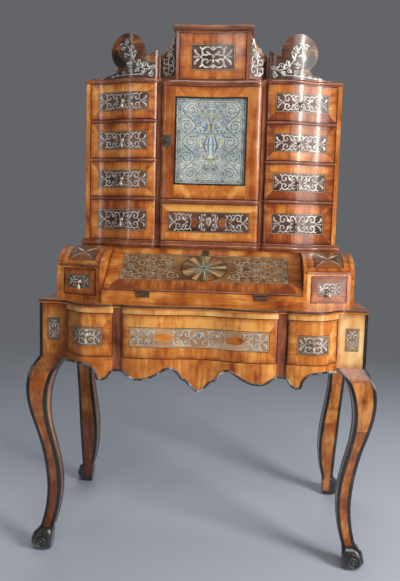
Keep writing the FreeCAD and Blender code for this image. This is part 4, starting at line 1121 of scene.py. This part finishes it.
for side, hand in hands:
    sheet = Marquetry(on_crown(side), crown_rect, side < 0)
    for k, corners in enumerate(mitred(crown_rect, crown_square)):
        lay_crown(corners, walnut_leaf, 90.0 if k < 2 else 0.0, float(leaf_pick.random()))
    black, inner = inset(crown_square, crown_black), inset(crown_square, crown_both)
    for corners in mitred(crown_square, black) + mitred(black, inner):
        lay_crown(corners, black_leaf, 0.0, 0.4)
    c = middle_of(inner)
    for k, (corner, after) in enumerate(pairs(corners_of(inner))):
        lay_crown([c, corner, after], brown_leaf if k else red_leaf, 90.0 * (k % 2), 0.5 + 0.3 * (k % 2))
    for corner in corners_of(inner):
        tip = (c[0] + (corner[0] - c[0]) * ray_reach, c[1] + (corner[1] - c[1]) * ray_reach)
        along = np.array(tip) - np.array(c)
        half, other = (ray_wide, cream_leaf) if corner[1] > c[1] else (ray_narrow, black_leaf)
        square_to = np.array([-along[1], along[0]]) / np.linalg.norm(along) * half
        waist = np.array(c) + along * ray_waist
        upper, lower = (cream_leaf, other) if corner[0] > c[0] else (other, cream_leaf)
        lay_crown([c, tuple(waist + square_to), tip], upper, 45.0, 0.9, leaf_lift + ray_over)
        lay_crown([c, tip, tuple(waist - square_to)], lower, 45.0, 0.7, leaf_lift + ray_over)
    sheet.done(hand + "_box_top_veneer", "carcass")


def hand_path(side, path):
    """A path drawn for the right hand, turned over for the left one."""
    return path if side > 0 else [(-x, y) for x, y in path[::-1]]


box_drawer_thick = 12.0
box_rect, box_panel = (298.5, 747.8, 398.5, 821.2), (315.0, 766.0, 386.0, 805.0)
box_lines = doubled(fitted(square_scrolls(2.7), 32.7, 16.7))
ledge = [(x, float(desk_line(x))) for x in np.linspace(285.0, 412.0, 24)]
for side, hand in hands:
    name = hand + "_box_drawer"
    rect, panel = on_hand(side, box_rect, box_panel)
    # Painted shade: the right box drawer's bands are darker than the left's.
    drawer_front(name, desk_line, rect, panel, box_lines, box_drawer_thick,
                 bands=(0.4, 0.2, 0.3, 0.3) if side < 0 else (-0.2, -0.3, -0.1, -0.3))
    pull_collar(name, desk_line, side * 348.5, 784.5)
    run_moulding(hand + "_box_ledge", hand_path(side, ledge), top=834.0, foot=827.0, reach=3.4)

# Fall flap: a sloping board hinged along its foot with iron leaves, crossbanded round a long arabesque panel
# with a rayed roundel in its middle. A dark lock plate is at the top and a kingwood bead along the foot.
flap_run, flap_rise = 149.4, 112.4
flap_length = math.hypot(flap_run, flap_rise)
on_flap = on_flat((0.0, -235.2, 767.6), (1.0, 0.0, 0.0), (0.0, flap_run / flap_length, flap_rise / flap_length))
flap_rect, flap_panel = (-275.4, 0.4, 275.4, flap_length - 0.4), (-238.0, 46.0, 238.0, 160.0)
iron = metal_finish("iron", (0.150, 0.092, 0.056), (0.072, 0.038, 0.020), 0.42, 120.0, 0.4, 0.5)
old_pewter = metal_finish("old_pewter", (0.46, 0.41, 0.31), (0.26, 0.21, 0.14), 0.42)
flap_ground = wood_finish("flap_ground", ((0.085, 0.034, 0.013), (0.185, 0.078, 0.026), (0.30, 0.145, 0.052)))
olive_leaf = wood_finish("olive_ray", ((0.10, 0.062, 0.026), (0.20, 0.135, 0.062), (0.33, 0.24, 0.12)))
teal_leaf = wood_finish("teal_ray", ((0.050, 0.090, 0.075), (0.120, 0.190, 0.160), (0.250, 0.330, 0.280)))
gold_leaf = wood_finish("gold_ray", ((0.27, 0.15, 0.045), (0.42, 0.26, 0.095), (0.56, 0.40, 0.19)))
dress("fall_flap", walnut_along)
dress("hinge_leaves_rail", iron)
dress("hinge_leaves_flap", iron)
sheet = Marquetry(on_flap, flap_rect)
flap_field = inset(flap_rect, 1.2)
sheet.border(flap_rect, flap_field, black_leaf)
sheet.border(flap_field, flap_panel, walnut_leaf, True)
inlaid_panel(sheet, flap_panel, flap_ground, 1.8, 2.9, 0.5)
sheet.rim(walnut_leaf)
sheet.done("flap_veneer", "flap")


def curl(centre, radius, start, turns, width):
    """A scroll that winds in to an eye, with leaves along its outer side."""
    s = np.linspace(0, 1, 15)
    turn = np.radians(start) + s * turns * 2 * math.pi
    reach = radius * (1 - 0.78 * s)
    row = np.stack([centre[0] + reach * np.cos(turn), centre[1] + reach * np.sin(turn)], -1)
    lines = [stem(row, width, 0.6, 1.3)]
    for k in (1, 4, 7):
        away = (row[k] - centre) / np.linalg.norm(row[k] - centre)
        along = np.array([-away[1], away[0]]) * np.sign(turns)
        lines.append(petal(row[k], row[k] + (away * 0.36 + along * 0.34) * radius, width * 1.9, 0.1))
    return lines


def curls(table, start, step, turns, width):
    """Scrolls from a table of centres and radii, wound to the right and to the left by turns."""
    return [line for k, (u, v, radius) in enumerate(table)
            for line in curl((u, v), radius, start + step * k, turns if k % 2 else -turns, width)]


flap_lines = curls(((90, 31, 17), (100, 6, 10), (122, 22, 15), (124, 47, 8), (150, 36, 15), (146, 8, 12),
                    (178, 16, 19), (182, 46, 9), (210, 36, 15), (212, 6, 11), (228, 18, 8), (230, 48, 6)),
                   start=200, step=70, turns=1.35, width=3.0)
flap_lines += [stem([(74, 16), (90, 14), (108, 30), (136, 30), (160, 20), (196, 34), (226, 34)], 2.2)]
saw_inlay("flap_arabesque", "flap", on_flap, doubled(flap_lines), middle_of(flap_panel), old_pewter)

roundel_wide, roundel_high = 67.0, 55.0
roundel_middle = middle_of(flap_panel)
roundel_lift, ray_lift, eye_lift = 0.5, 0.56, 0.62
wedges = (gold_leaf, brown_leaf, olive_leaf, red_leaf, brown_leaf, gold_leaf, olive_leaf, brown_leaf)
roundel = Marquetry(on_flap, (-80.0, 30.0, 80.0, 175.0))


def on_ring(turn, share):
    """A point of the roundel at an angle, and at a share of its half widths."""
    return (roundel_wide * share * math.cos(turn), roundel_middle[1] + roundel_high * share * math.sin(turn))


def ring_part(k, count, inner, outer):
    """One of a count of equal parts of a ring round the roundel's middle."""
    a, b = 2 * math.pi * k / count, 2 * math.pi * (k + 1) / count
    return [on_ring(a, inner), on_ring(a, outer), on_ring(b, outer), on_ring(b, inner)]


for k in range(48):
    number = k // 2
    roundel.leaf(ring_part(k, 48, 0.96, 1.0), black_leaf, 0.0, 0.4, None, roundel_lift)
    roundel.leaf(ring_part(k, 48, 0.0, 0.96)[:3], wedges[number % 8], math.degrees(2 * math.pi * k / 48),
                 0.2 + 0.13 * (number % 5), None, roundel_lift)
for k in range(24):
    turn = 2 * math.pi * (k + 0.5) / 24
    tip = on_ring(turn, 0.84 if k % 3 == 0 else 0.66 + 0.05 * (k % 2))
    for corners, finish, shade in (([on_ring(turn - 0.075, 0.36), tip], teal_leaf if k % 3 else cream_leaf, 0.6),
                                   ([tip, on_ring(turn + 0.075, 0.36)], black_leaf if k % 2 else teal_leaf, 0.4)):
        roundel.leaf([roundel_middle, *corners], finish, math.degrees(turn), shade, None, ray_lift)
for k in range(24):
    roundel.leaf(ring_part(k, 24, 0.07, 0.15), teal_leaf, 0.0, 0.8, None, eye_lift)
    roundel.leaf(ring_part(k, 24, 0.0, 0.07)[:3], black_leaf, 0.0, 0.3, None, eye_lift)
roundel.done("flap_roundel", "flap")
lock_half_wide, lock_half_high = 11.5, 15.5
lock_shape = [(lock_half_wide * math.sin(a), lock_half_high * math.cos(a)) for a in np.linspace(0, math.pi, 17)]
lock_shape[-1] = (0.0, -lock_half_high)
keyhole_plate("flap_lock_plate", "flap", on_flap, (0.0, flap_length - 17.0), lock_shape, iron, "iron", 1.1, 1.2)
bead_u = np.linspace(-274.5, 274.5, 60)
bead_row = on_flap(bead_u, 0 * bead_u + 4.6, 0 * bead_u + 0.1)
flap_bead = worked("flap_foot_bead", [(bead_row, 2.6)], round_bead, Spacing=9.0, Sides=12, Finish=kingwood_along)
set_piece("flap_foot_bead", resized(flap_bead), "flap")

screw_head, given = work_group("hinge_screws", {"Radius": "Float", "Dome": "Float"})
spots = put(screw_head, "GeometryNodeCurveToPoints", {"Curve": given["Geometry"]}, mode="EVALUATED")
head = put(screw_head, "GeometryNodeMeshCone", {"Vertices": 16, "Side Segments": 1, "Fill Segments": 1,
                                                "Radius Top": 0.62, "Radius Bottom": 1.0, "Depth": 0.5})
groove = put(screw_head, "GeometryNodeMeshCube", {"Size": (1.5, 0.22, 0.3)})
groove = put(screw_head, "GeometryNodeTransform", {"Geometry": groove, "Translation": (0.0, 0.0, 0.5)})
head = put(screw_head, "GeometryNodeMeshBoolean", {0: head, 1: groove}, operation="DIFFERENCE")
head = put(screw_head, "GeometryNodeTransform", {"Geometry": head, "Rotation": (math.pi / 2, 0.5, 0.0)})
size = put(screw_head, "ShaderNodeCombineXYZ", {0: given["Radius"], 1: given["Dome"], 2: given["Radius"]})
set_in = put(screw_head, "GeometryNodeInstanceOnPoints", {"Points": spots, "Instance": head, "Scale": size})
close_work(screw_head, set_in, given["Finish"])
hinge_x, screw_gap, screw_y, screw_z, screw_drop = 162.0, 13.0, -236.7, 757.0, 0.15
screw_lines = []
for x in (-hinge_x, hinge_x):
    row = [(x + dx, screw_y, screw_z - abs(dx) * screw_drop) for dx in (-screw_gap, 0.0, screw_gap)]
    screw_lines.append((np.array(row), 1.0))
hinge_screws = resized(worked("hinge_screws", screw_lines, screw_head, Radius=1.9, Dome=1.4, Finish=iron))
set_piece("hinge_screws", hinge_screws, "carcass")

# Cabinet case: a moulded kingwood base, walnut sides, partitions with kingwood edges, and rounded
# kingwood rails between the drawers of the two columns and over and under the door.
cabinet_y, cabinet_behind, base_half, cornice_half = 16.8, 274.0, 396.0, 388.0
column_inner_x, column_outer_x, column_top_z = 164.0, 375.6, 1370.0
rail_levels, rail_half = (1259.8, 1143.6, 1027.4), 4.4
cabinet_line = front_line([
    ease((0, 33), (122, 40)), swell((122, 40), (152, 26), False), [(152, 26), (163, 26)],
    swell((205, 38), (163, 26), True), ease((205, 38), (376, 0)), [(376, 0), (400, 0)]], cabinet_y)
dress("cabinet_base", kingwood_along)
dress("cabinet_sides", walnut_upright, oak_deep, rule=lambda place, way: int(way.x * place.x < 0))
dress("cabinet_partitions", kingwood_upright, oak_deep, rule=lambda place, way: int(way.y > -0.5))
dress("column_boards", kingwood_along, oak_deep,
      rule=lambda place, way: int(abs(way.z) > 0.7 and place.z < column_top_z))
dress("door_rails", kingwood_along, oak_along, rule=lambda place, way: int(abs(way.z) > 0.7))
base_path = wrapped_path(cabinet_line, base_half, forward=8.0, behind=cabinet_behind, count=12, gap=0.4)
run_moulding("base_torus", base_path, top=893.5, foot=880.6, reach=3.6)
run_moulding("base_fillet", base_path, top=900.6, foot=895.2, reach=1.6)
rail_path = front_path(cabinet_line, column_inner_x, column_outer_x, -2.0)
for (number, z), (side, hand) in itertools.product(enumerate(rail_levels, 1), hands):
    run_moulding(f"{hand}_column_rail_{number}", hand_path(side, rail_path), z + rail_half, z - rail_half,
                 reach=2.6)
cornice_path = front_path(cabinet_line, 153.0, cornice_half - 0.4)
cornice_path += [(cornice_half, y) for y in np.linspace(17.2, cabinet_behind, 12)]
for side, hand in hands:
    run_moulding(hand + "_column_cornice", hand_path(side, cornice_path), top=1384.8, foot=1372.0, reach=2.6)
for name, top, foot in (("low", 1028.4, 1015.2), ("high", 1380.4, 1363.2)):
    run_moulding(name + "_door_rail_nose", front_path(cabinet_line, -151.6, 151.6), top, foot, reach=1.4)

# Column drawers: four in each column, bowed to the case's front, with the same crossbanded walnut,
# inlaid panel and drop pull on each. The right column's bands are darker as painted shade against the stronger
# light on that side.
column_levels = ((1265.4, 1370.4), (1149.2, 1254.2), (1033.0, 1138.0), (901.8, 1021.8))
for number, (low, high) in enumerate(column_levels):
    half = 32.0 if number == 3 else 28.0
    middle = (low + high) / 2
    column_lines = doubled(fitted(long_scrolls(3.2), 77.7, half - 2.8))
    for side, hand in hands:
        name = f"{hand}_column_drawer_{number + 1}"
        rect, panel = on_hand(side, (164.5, low, 374.5, high), (189.0, middle - half, 350.0, middle + half))
        # Painted shade: the right column's bands are made darker.
        bands = [float(leaf_pick.random()) * 0.9 - (0.0 if side < 0 else 0.45) for k in range(4)]
        drawer_front(name, cabinet_line, rect, panel, column_lines, bands=bands)
        pull_collar(name, cabinet_line, side * 269.5, middle)

# Centre drawer: under the door, hollowed across its width and veneered like the others, with a long inlaid
# panel, a pair of red lozenges and a large brass keyhole plate.
centre_rect, centre_panel = (-150.4, 901.8, 150.4, 1014.0), (-125.0, 928.0, 125.0, 991.0)
centre_lines = (fitted(long_scrolls(3.3), 122.2, 28.7, 0.40, 1.0)
                + fitted(square_scrolls(2.8), 122.2, 28.7, 0.085, 0.25))
drawer_front("centre_drawer", cabinet_line, centre_rect, centre_panel, doubled(centre_lines),
             bands=(0.9, 2.4, 0.7, 0.5))
centre_lozenge = ((30, 0), (36, 14), (48, 16), (55, 0), (48, -16), (36, -14))
lay_lozenges("centre_drawer", cabinet_line, centre_panel, centre_lozenge, red_leaf, 0.7)
keyhole_plate("centre_drawer_keyplate", "centre_drawer", on_front(cabinet_line), (0.0, 961.0),
              1.35 * np.array(shield), brass, "brass")

# Door: a walnut frame of two stiles and two rails inside a black edge line and black cut edge that are painted
# shadow of the gap round it, with a black moulding round a panel of pale metal, engraved with a vase of flowers
# between winding stems, and an iron lock plate on the left stile.
door_rect, door_bead = (-150.4, 1029.8, 150.4, 1361.8), (-108.0, 1071.4, 108.0, 1331.2)
bead_wide, bead_lift, bead_foot = 4.6, 1.5, -4.2
dress("door_frame", walnut_upright)
door_field = inset(door_rect, 1.5)
sheet = Marquetry(on_front(cabinet_line), inset(door_rect, 0.2))
# A black line along the door's edge, and its black cut edge: painted shadow of the gap round the door.
sheet.border(sheet.rect, door_field, black_leaf)
u0, v0, u1, v1 = door_field
a0, b0, a1, b1 = door_bead
for low, high, shade in ((v0, b0, 0.62), (b1, v1, 0.1)):
    for half in ((a0, low, 0.0, high), (0.0, low, a1, high)):
        sheet.field(half, walnut_leaf, 62.0, shade, 0.0)
sheet.field((u0, v0, a0, v1), walnut_leaf, 90.0, 0.78)
sheet.field((a1, v0, u1, v1), walnut_leaf, 90.0, 0.84)
sheet.wall(door_bead, black_leaf, bead_lift, leaf_lift)
sheet.border(door_bead, inset(door_bead, bead_wide), black_leaf, lift=bead_lift)
sheet.wall(inset(door_bead, bead_wide), black_leaf, bead_lift, bead_foot, True)
sheet.rim(black_leaf)
sheet.done("door_veneer", "door")


def engraved_finish(name):
    """Pale engraved metal: fine curling lines cut in mirror image, darkened, with washes of gold and blue."""
    finish, tree = new_finish(name)
    axes = put(tree, "ShaderNodeSeparateXYZ", {0: put(tree, "ShaderNodeTexCoord", give="Object")}, None)
    folded = put(tree, "ShaderNodeCombineXYZ", {0: calc(tree, "ABSOLUTE", axes["X"]), 1: axes["Z"]})
    curling = noise(tree, folded, 52.0, 1.0, Distortion=2.2)
    saw = calc(tree, "PINGPONG", calc(tree, "MULTIPLY", curling, 5.0), 0.5)
    wash = noise(tree, folded, 21.0, 3.0)
    tint = noise(tree, folded, 34.0, 2.0, Distortion=0.8)
    colour = mixed(tree, ramp(tree, wash, 0.36, 0.62), (0.40, 0.47, 0.49), (0.60, 0.64, 0.60))
    colour = mixed(tree, ramp(tree, tint, 0.56, 0.70, 0.0, 0.6), colour, (0.36, 0.33, 0.16))
    colour = mixed(tree, ramp(tree, tint, 0.42, 0.32, 0.0, 0.45), colour, (0.17, 0.26, 0.36))
    cut = calc(tree, "MULTIPLY", ramp(tree, saw, 0.09, 0.19, 1.0, 0.0), 0.78)
    colour = mixed(tree, cut, colour, (0.075, 0.09, 0.09))
    rough = ramp(tree, wash, 0.3, 0.7, 0.30, 0.45)
    close_finish(tree, {"Base Color": colour, "Metallic": 0.35, "Roughness": rough,
                        "Coat Weight": 0.2, "Coat Roughness": 0.15}, saw, 0.35, 0.0004)
    return finish


dress("door_panel", engraved_finish("engraved_plate"), oak_deep, rule=lambda place, way: int(way.y > 0.3))
on_panel = on_front(cabinet_line, 4.0)
panel_centre, panel_half = (0.0, 1201.3), (102.0, 124.0)
engraved_dark = metal_finish("engraved_line", (0.090, 0.100, 0.090), (0.045, 0.048, 0.040), 0.45)
engraved_gold = metal_finish("gilt_wash", (0.56, 0.49, 0.25), (0.38, 0.35, 0.19), 0.36)
engraved_blue = metal_finish("blue_wash", (0.10, 0.18, 0.33), (0.20, 0.28, 0.36), 0.40)
pale_and_highlight_metal = metal_finish("pale_wash_and_painted_highlight", (0.66, 0.69, 0.64), (0.50, 0.55, 0.53), 0.36)


def engrave(name, lines, finish, lift, crown=0.05):
    """Lines of the door's panel with their mirror images, at their own height above it."""
    saw_inlay("door_panel_" + name, "door", on_panel, doubled(lines, False), panel_centre, finish, "engraved",
              lift, crown)


stem_x, stem_sway, stem_end, half_wave = 66, 19, 116.0, 46.4
foliage = []
for k in range(5):
    way = 1 if k % 2 else -1
    for across, up, radius, start, step, turns, width in (
            (7, 0, 19.5, -90, 0, 1.7, 2.1), (-28, 4, 8.5, 160, 60, -1.3, 1.8), (27, -16, 6.5, 0, 70, 1.2, 1.6),
            (27, 16, 6.5, 50, 70, -1.2, 1.6), (-20, -23, 6.0, 20, 80, -1.2, 1.6)):
        eye = (stem_x + across * way, half_wave * (k - 2) + up)
        foliage += curl(eye, radius, start + step * k, turns * way, width)
foliage += curls(((15, 106, 11), (37, 108, 7), (16, -76, 10), (15, -104, 12), (38, -112, 7), (30, 88, 7),
                  (8, 88, 5)), start=60, step=75, turns=1.3, width=1.8)
climb = np.linspace(-stem_end, stem_end, 21)
winding = stem(np.stack([stem_x + stem_sway * np.sin(math.pi * (climb + stem_end) / half_wave), climb], -1), 2.4)
stems_only = foliage[0::4] + [winding]
leaves_only = [(row, width * 0.95) for k, (row, width) in enumerate(foliage) if k % 4]
engrave("shading", stems_only, engraved_dark, 0.0)
# Pale copies of the stems, set a little up and to the right of them: painted highlights along the engraved lines.
engrave("edges", [(row + (1.3, 1.2), width * 0.75) for row, width in stems_only], pale_and_highlight_metal, -0.02)
engrave("foliage", leaves_only, engraved_gold, 0.1, 0.06)
vase_levels = np.linspace(0, 1, 40)
vase_half = np.interp(vase_levels, [0, 0.06, 0.14, 0.22, 0.45, 0.62, 0.80, 0.88, 1.0],
                      [15, 14, 6, 6, 20, 22, 14, 11, 16])
vase_line = (np.stack([0 * vase_levels, (-0.42 + 0.58 * vase_levels) * panel_half[1]], -1), vase_half)
saw_inlay("door_panel_vase", "door", on_panel, [vase_line], panel_centre, pale_and_highlight_metal, lift=0.2, crown=0.004)
flowers = drawn((), [((12, 30), (14, 44), 7), ((12, 30), (26, 36), 7), ((12, 30), (24, 24), 6),
                     ((32, 18), (44, 24), 6), ((32, 18), (42, 10), 5), ((32, 18), (30, 30), 5.5),
                     ((2, 44), (9, 58), 7)])
flowers += drawn([([(u, 10), (u * 1.5, -8), (u * 1.15, -24)], 6, 0.7, 0.5) for u in (5, 12)])
gilding = drawn([([(0, 15.5), (15, 15.5)], 4), ([(0, -6), (20, -5)], 3), ([(0, -41), (14, -41)], 4)],
                [((0, 46), (2, 64), 7), ((12, 30), (2, 38), 6)])
gilding += drawn([([(20, -2), (33, 6), (34, -10), (21, -16)], 2.6)])
lines = drawn([([(2, 16), (6, 24), (12, 30)], 1.4), ([(5, 16), (18, 20), (32, 18)], 1.4),
               ([(0, 16), (1, 30), (0, 46)], 1.4), ([(0, -42), (15, -42)], 1.6),
               ([(15, 16), (10, 10), (21, -4), (20, -14), (6, -28), (14, -42)], 1.6, 1, 1),
               ([(0, -8), (21, -7)], 1.3), ([(0, 12), (12, 12)], 1.3)])
for a, b in ((97, 97.5), (92, 93.5)):
    lines += drawn([(ends, 1.3, 1, 1) for ends in ([(0, b), (a, b)], [(a, b), (a, -b)], [(0, -b), (a, -b)])])
engrave("flowers", fitted(flowers, *panel_half), engraved_blue, 0.3)
engrave("gilding", fitted(gilding, *panel_half), engraved_gold, 0.36)
engrave("lines", fitted(lines, *panel_half), engraved_dark, 0.42, 0.06)
door_plate = ((0, 22), (4, 17), (8, 20), (13, 15), (9, 9), (15, 5), (11, -1), (15, -8), (9, -14), (4, -15),
              (0, -23))
lock_iron = metal_finish("lock_iron", (0.115, 0.110, 0.095), (0.030, 0.028, 0.024), 0.34, 120.0, 0.4, 0.5)
keyhole_plate("door_lock_plate", "door", on_front(cabinet_line), (-131.5, 1199.0), door_plate, lock_iron, "iron",
              1.0)

# Crest: a tall drawer in a walnut box with kingwood edges under a moulded kingwood cap, between slanted wings with
# a dark inlaid panel, and a board sawn to a scroll on top of each column with an inlaid leaf along it.
crest_z, cap_half = 1385.2, 116.5
crest_rect, crest_panel = (-98.0, 1381.6, 98.0, 1514.6), (-66.0, 1408.0, 66.0, 1484.0)
wing_inner_x, wing_outer_x, wing_slant = 109.5, 160.0, 30.0
wing_high, wing_low, wing_gap, wing_border, wing_band = 131.0, 70.0, 0.5, 7.0, 5.6
wing_y = float(cabinet_line(wing_inner_x)) + 3.0
burr = wood_finish("dark_walnut", ((0.026, 0.008, 0.004), (0.105, 0.031, 0.008), (0.33, 0.122, 0.030)),
                   "X", polish=0.7)
dress("crest_sides", kingwood_upright, walnut_upright, rule=lambda place, way: int(way.y > -0.5))
dress("crest_cap", kingwood_along)
dress("crest_wings", kingwood_upright)
dress("crest_scrolls", burr)
crest_lines = doubled(fitted(square_scrolls(4.8), 63.0, 35.0))
drawer_front("crest_drawer", cabinet_line, crest_rect, crest_panel, crest_lines, bands=(0.2, 0.0, 0.3, 0.1))
pull_collar("crest_drawer", cabinet_line, 0.0, 1448.1)
cap_path = wrapped_path(cabinet_line, cap_half, forward=9.0, behind=cabinet_behind, count=12, gap=0.3)
run_moulding("cap_nose", cap_path, top=1535.0, foot=1525.4, reach=2.6)
# A black strip under the cap's nose: painted shadow below the cap.
run_moulding("cap_shadow_line", cap_path, 1524.6, 1521.8, 1.0, ebonised)

wing_lines = drawn(
    [([(28, 10), (26, 30), (28, 52), (22, 78), (14, 104)], 3.8),
     ([(26, 26), (40, 34), (46, 24), (40, 16), (35, 22)], 3.4),
     ([(26, 30), (12, 38), (7, 26), (13, 18), (18, 25)], 3.4),
     ([(27, 54), (40, 58), (45, 48), (39, 42), (35, 48)], 3.2),
     ([(26, 58), (13, 66), (8, 54), (13, 47), (18, 53)], 3.2)],
    [((22, 80), (33, 72), 7.5), ((22, 78), (9, 84), 7.5), ((14, 100), (10, 116), 7.0), ((17, 94), (22, 86), 6.0),
     ((28, 12), (40, 12), 6.5), ((28, 12), (16, 12), 6.5), ((26, 40), (17, 40), 5.5), ((28, 40), (38, 44), 5.5),
     ((24, 70), (36, 66), 6.0), ((24, 68), (12, 74), 6.0)], unit=1.0)
wing_lines += curls(((48, 60, 5), (16, 84, 6), (34, 84, 6), (9, 100, 5), (44, 34, 5), (10, 44, 5), (32, 14, 5),
                     (20, 66, 5)), start=50, step=90, turns=1.2, width=1.8)
ground_path = smooth_row([(172, 24), (196, 24), (222, 30), (243, 50), (254, 76), (268, 98), (284, 104)])
ground_half = np.interp(np.linspace(0, 1, len(ground_path)), [0, 0.15, 0.4, 0.6, 0.8, 0.92, 1.0],
                        [20, 23, 27, 26, 20, 10, 2])
fan_path = smooth_row([(226, 20), (256, 15), (290, 9), (326, 6)])
fan_half = np.interp(np.linspace(0, 1, len(fan_path)), [0, 0.4, 1.0], [18, 13, 2])
eye_turn = np.radians(np.linspace(14, -84, 24))
eye_path = np.stack([256 + 39 * np.cos(eye_turn), 76 + 39 * np.sin(eye_turn)], -1)
eye_half = np.interp(np.linspace(0, 1, len(eye_path)), [0, 0.2, 0.55, 0.85, 1.0], [2, 8, 12.5, 10, 3])
scroll_lines = drawn([([(172, 36), (190, 26), (214, 30), (236, 50), (246, 74), (258, 94), (278, 102)], 2.6),
                      ([(190, 26), (214, 12), (246, 10), (282, 8), (312, 6)], 2.2)], unit=1.0)
for k, share in enumerate(np.linspace(0.06, 0.90, 13)):
    step = int(share * (len(ground_path) - 2))
    foot, next_foot = ground_path[step], ground_path[step + 1]
    along = (next_foot - foot) / np.linalg.norm(next_foot - foot)
    reach = 0.62 * float(ground_half[step]) * (1 if k % 2 else -1)
    scroll_lines.append(petal(foot, foot + along * 9.0 + np.array([-along[1], along[0]]) * reach, 5.6, 0.15))
scroll_lines += curls(((178, 34, 7), (186, 12, 8), (204, 38, 8), (208, 16, 8), (222, 46, 9), (228, 24, 8),
                       (236, 68, 9), (250, 42, 9), (244, 88, 8), (264, 66, 8), (258, 106, 7), (272, 88, 7),
                       (248, 20, 7), (268, 14, 6), (288, 10, 5), (304, 7, 3.5)),
                      start=30, step=80, turns=1.2, width=2.0)
on_scroll = on_front(cabinet_line, 4.0)
post_y, post_top = wing_y + 27.0, crest_z + 66.0
post_section = ((160.2, 8.0), (160.2, 0.8), (161.4, 0.0), (165.6, 0.0), (166.8, 0.8), (166.8, 8.0))
for side, hand in hands:
    across = np.array([wing_outer_x - wing_inner_x, wing_slant * side, 0.0])
    long = float(np.linalg.norm(across))
    start = (wing_inner_x, wing_y, crest_z) if side > 0 else (-wing_outer_x, wing_y + wing_slant, crest_z)
    on_wing = on_flat(start, across / long, (0.0, 0.0, 1.0))
    sheet = Marquetry(on_wing, (wing_gap, wing_gap, long - wing_gap, 130.0))
    top = []
    for share in np.linspace(0, 1, 12):
        near, pole, far = (1 - share) ** 2, 2 * share * (1 - share) / 3, share ** 2
        rise = near * wing_high + pole * (wing_high + 2 * wing_low) + far * wing_low
        width = near * wing_inner_x + pole * (2 * wing_inner_x + wing_outer_x) + far * wing_outer_x
        top.append(((width - wing_inner_x) / (wing_outer_x - wing_inner_x) * long, rise - 0.6))
    for (ua, va), (ub, vb) in zip(top, top[1:]):
        ua, ub = max(ua, wing_gap), min(ub, long - wing_gap)
        levels = [[wing_gap, wing_border, v - wing_border, v - wing_band, v] for v in (va, vb)]
        for k, finish in enumerate((kingwood_upright, ground_leaf, pale_leaf, walnut_leaf)):
            (foot_a, head_a), (foot_b, head_b) = (level[k:k + 2] for level in levels)
            corners = [(ua, foot_a), (ub, foot_b), (ub, head_b), (ua, head_a)]
            sheet.leaf(corners if side > 0 else [(long - u, v) for u, v in corners], finish, 90.0, 0.5)
    sheet.done(hand + "_wing_veneer", "carcass")
    saw_inlay(hand + "_wing_inlay", "carcass", on_wing, wing_lines if side > 0 else flipped(wing_lines, long))
    scroll_ground = black_finish(hand + "_scroll_ground", (0.040, 0.024, 0.018), (0.095, 0.055, 0.038), 0.22)
    for name, lines, more in (
            ("leaf", [(ground_path, ground_half), (fan_path, fan_half)], (scroll_ground, "ebonised", 0.3, 0.004)),
            ("eye", [(eye_path, eye_half)], (ebonised, "ebonised", 0.34, 0.01)), ("inlay", scroll_lines, ())):
        lines = lines if side > 0 else flipped(lines)
        saw_inlay(f"{hand}_scroll_{name}", "carcass", on_scroll, lines, (0.0, crest_z), *more)
    post = [[(side * x, post_y + y, z) for x, y in post_section]
            for z in (crest_z + 0.1, post_top - 1.0, post_top)]
    make_piece(hand + "_wing_post", *lofted((post, side > 0)), [kingwood_upright], "carcass", "kingwood")

# Backs: plain upright oak boards, nailed into the stand, desk, cabinet and crest box. They are left rough,
# with hardly any polish.
dress("back_boards", wood_finish("oak_upright", oak, "Z", 0.14, "X", polish=0.05))
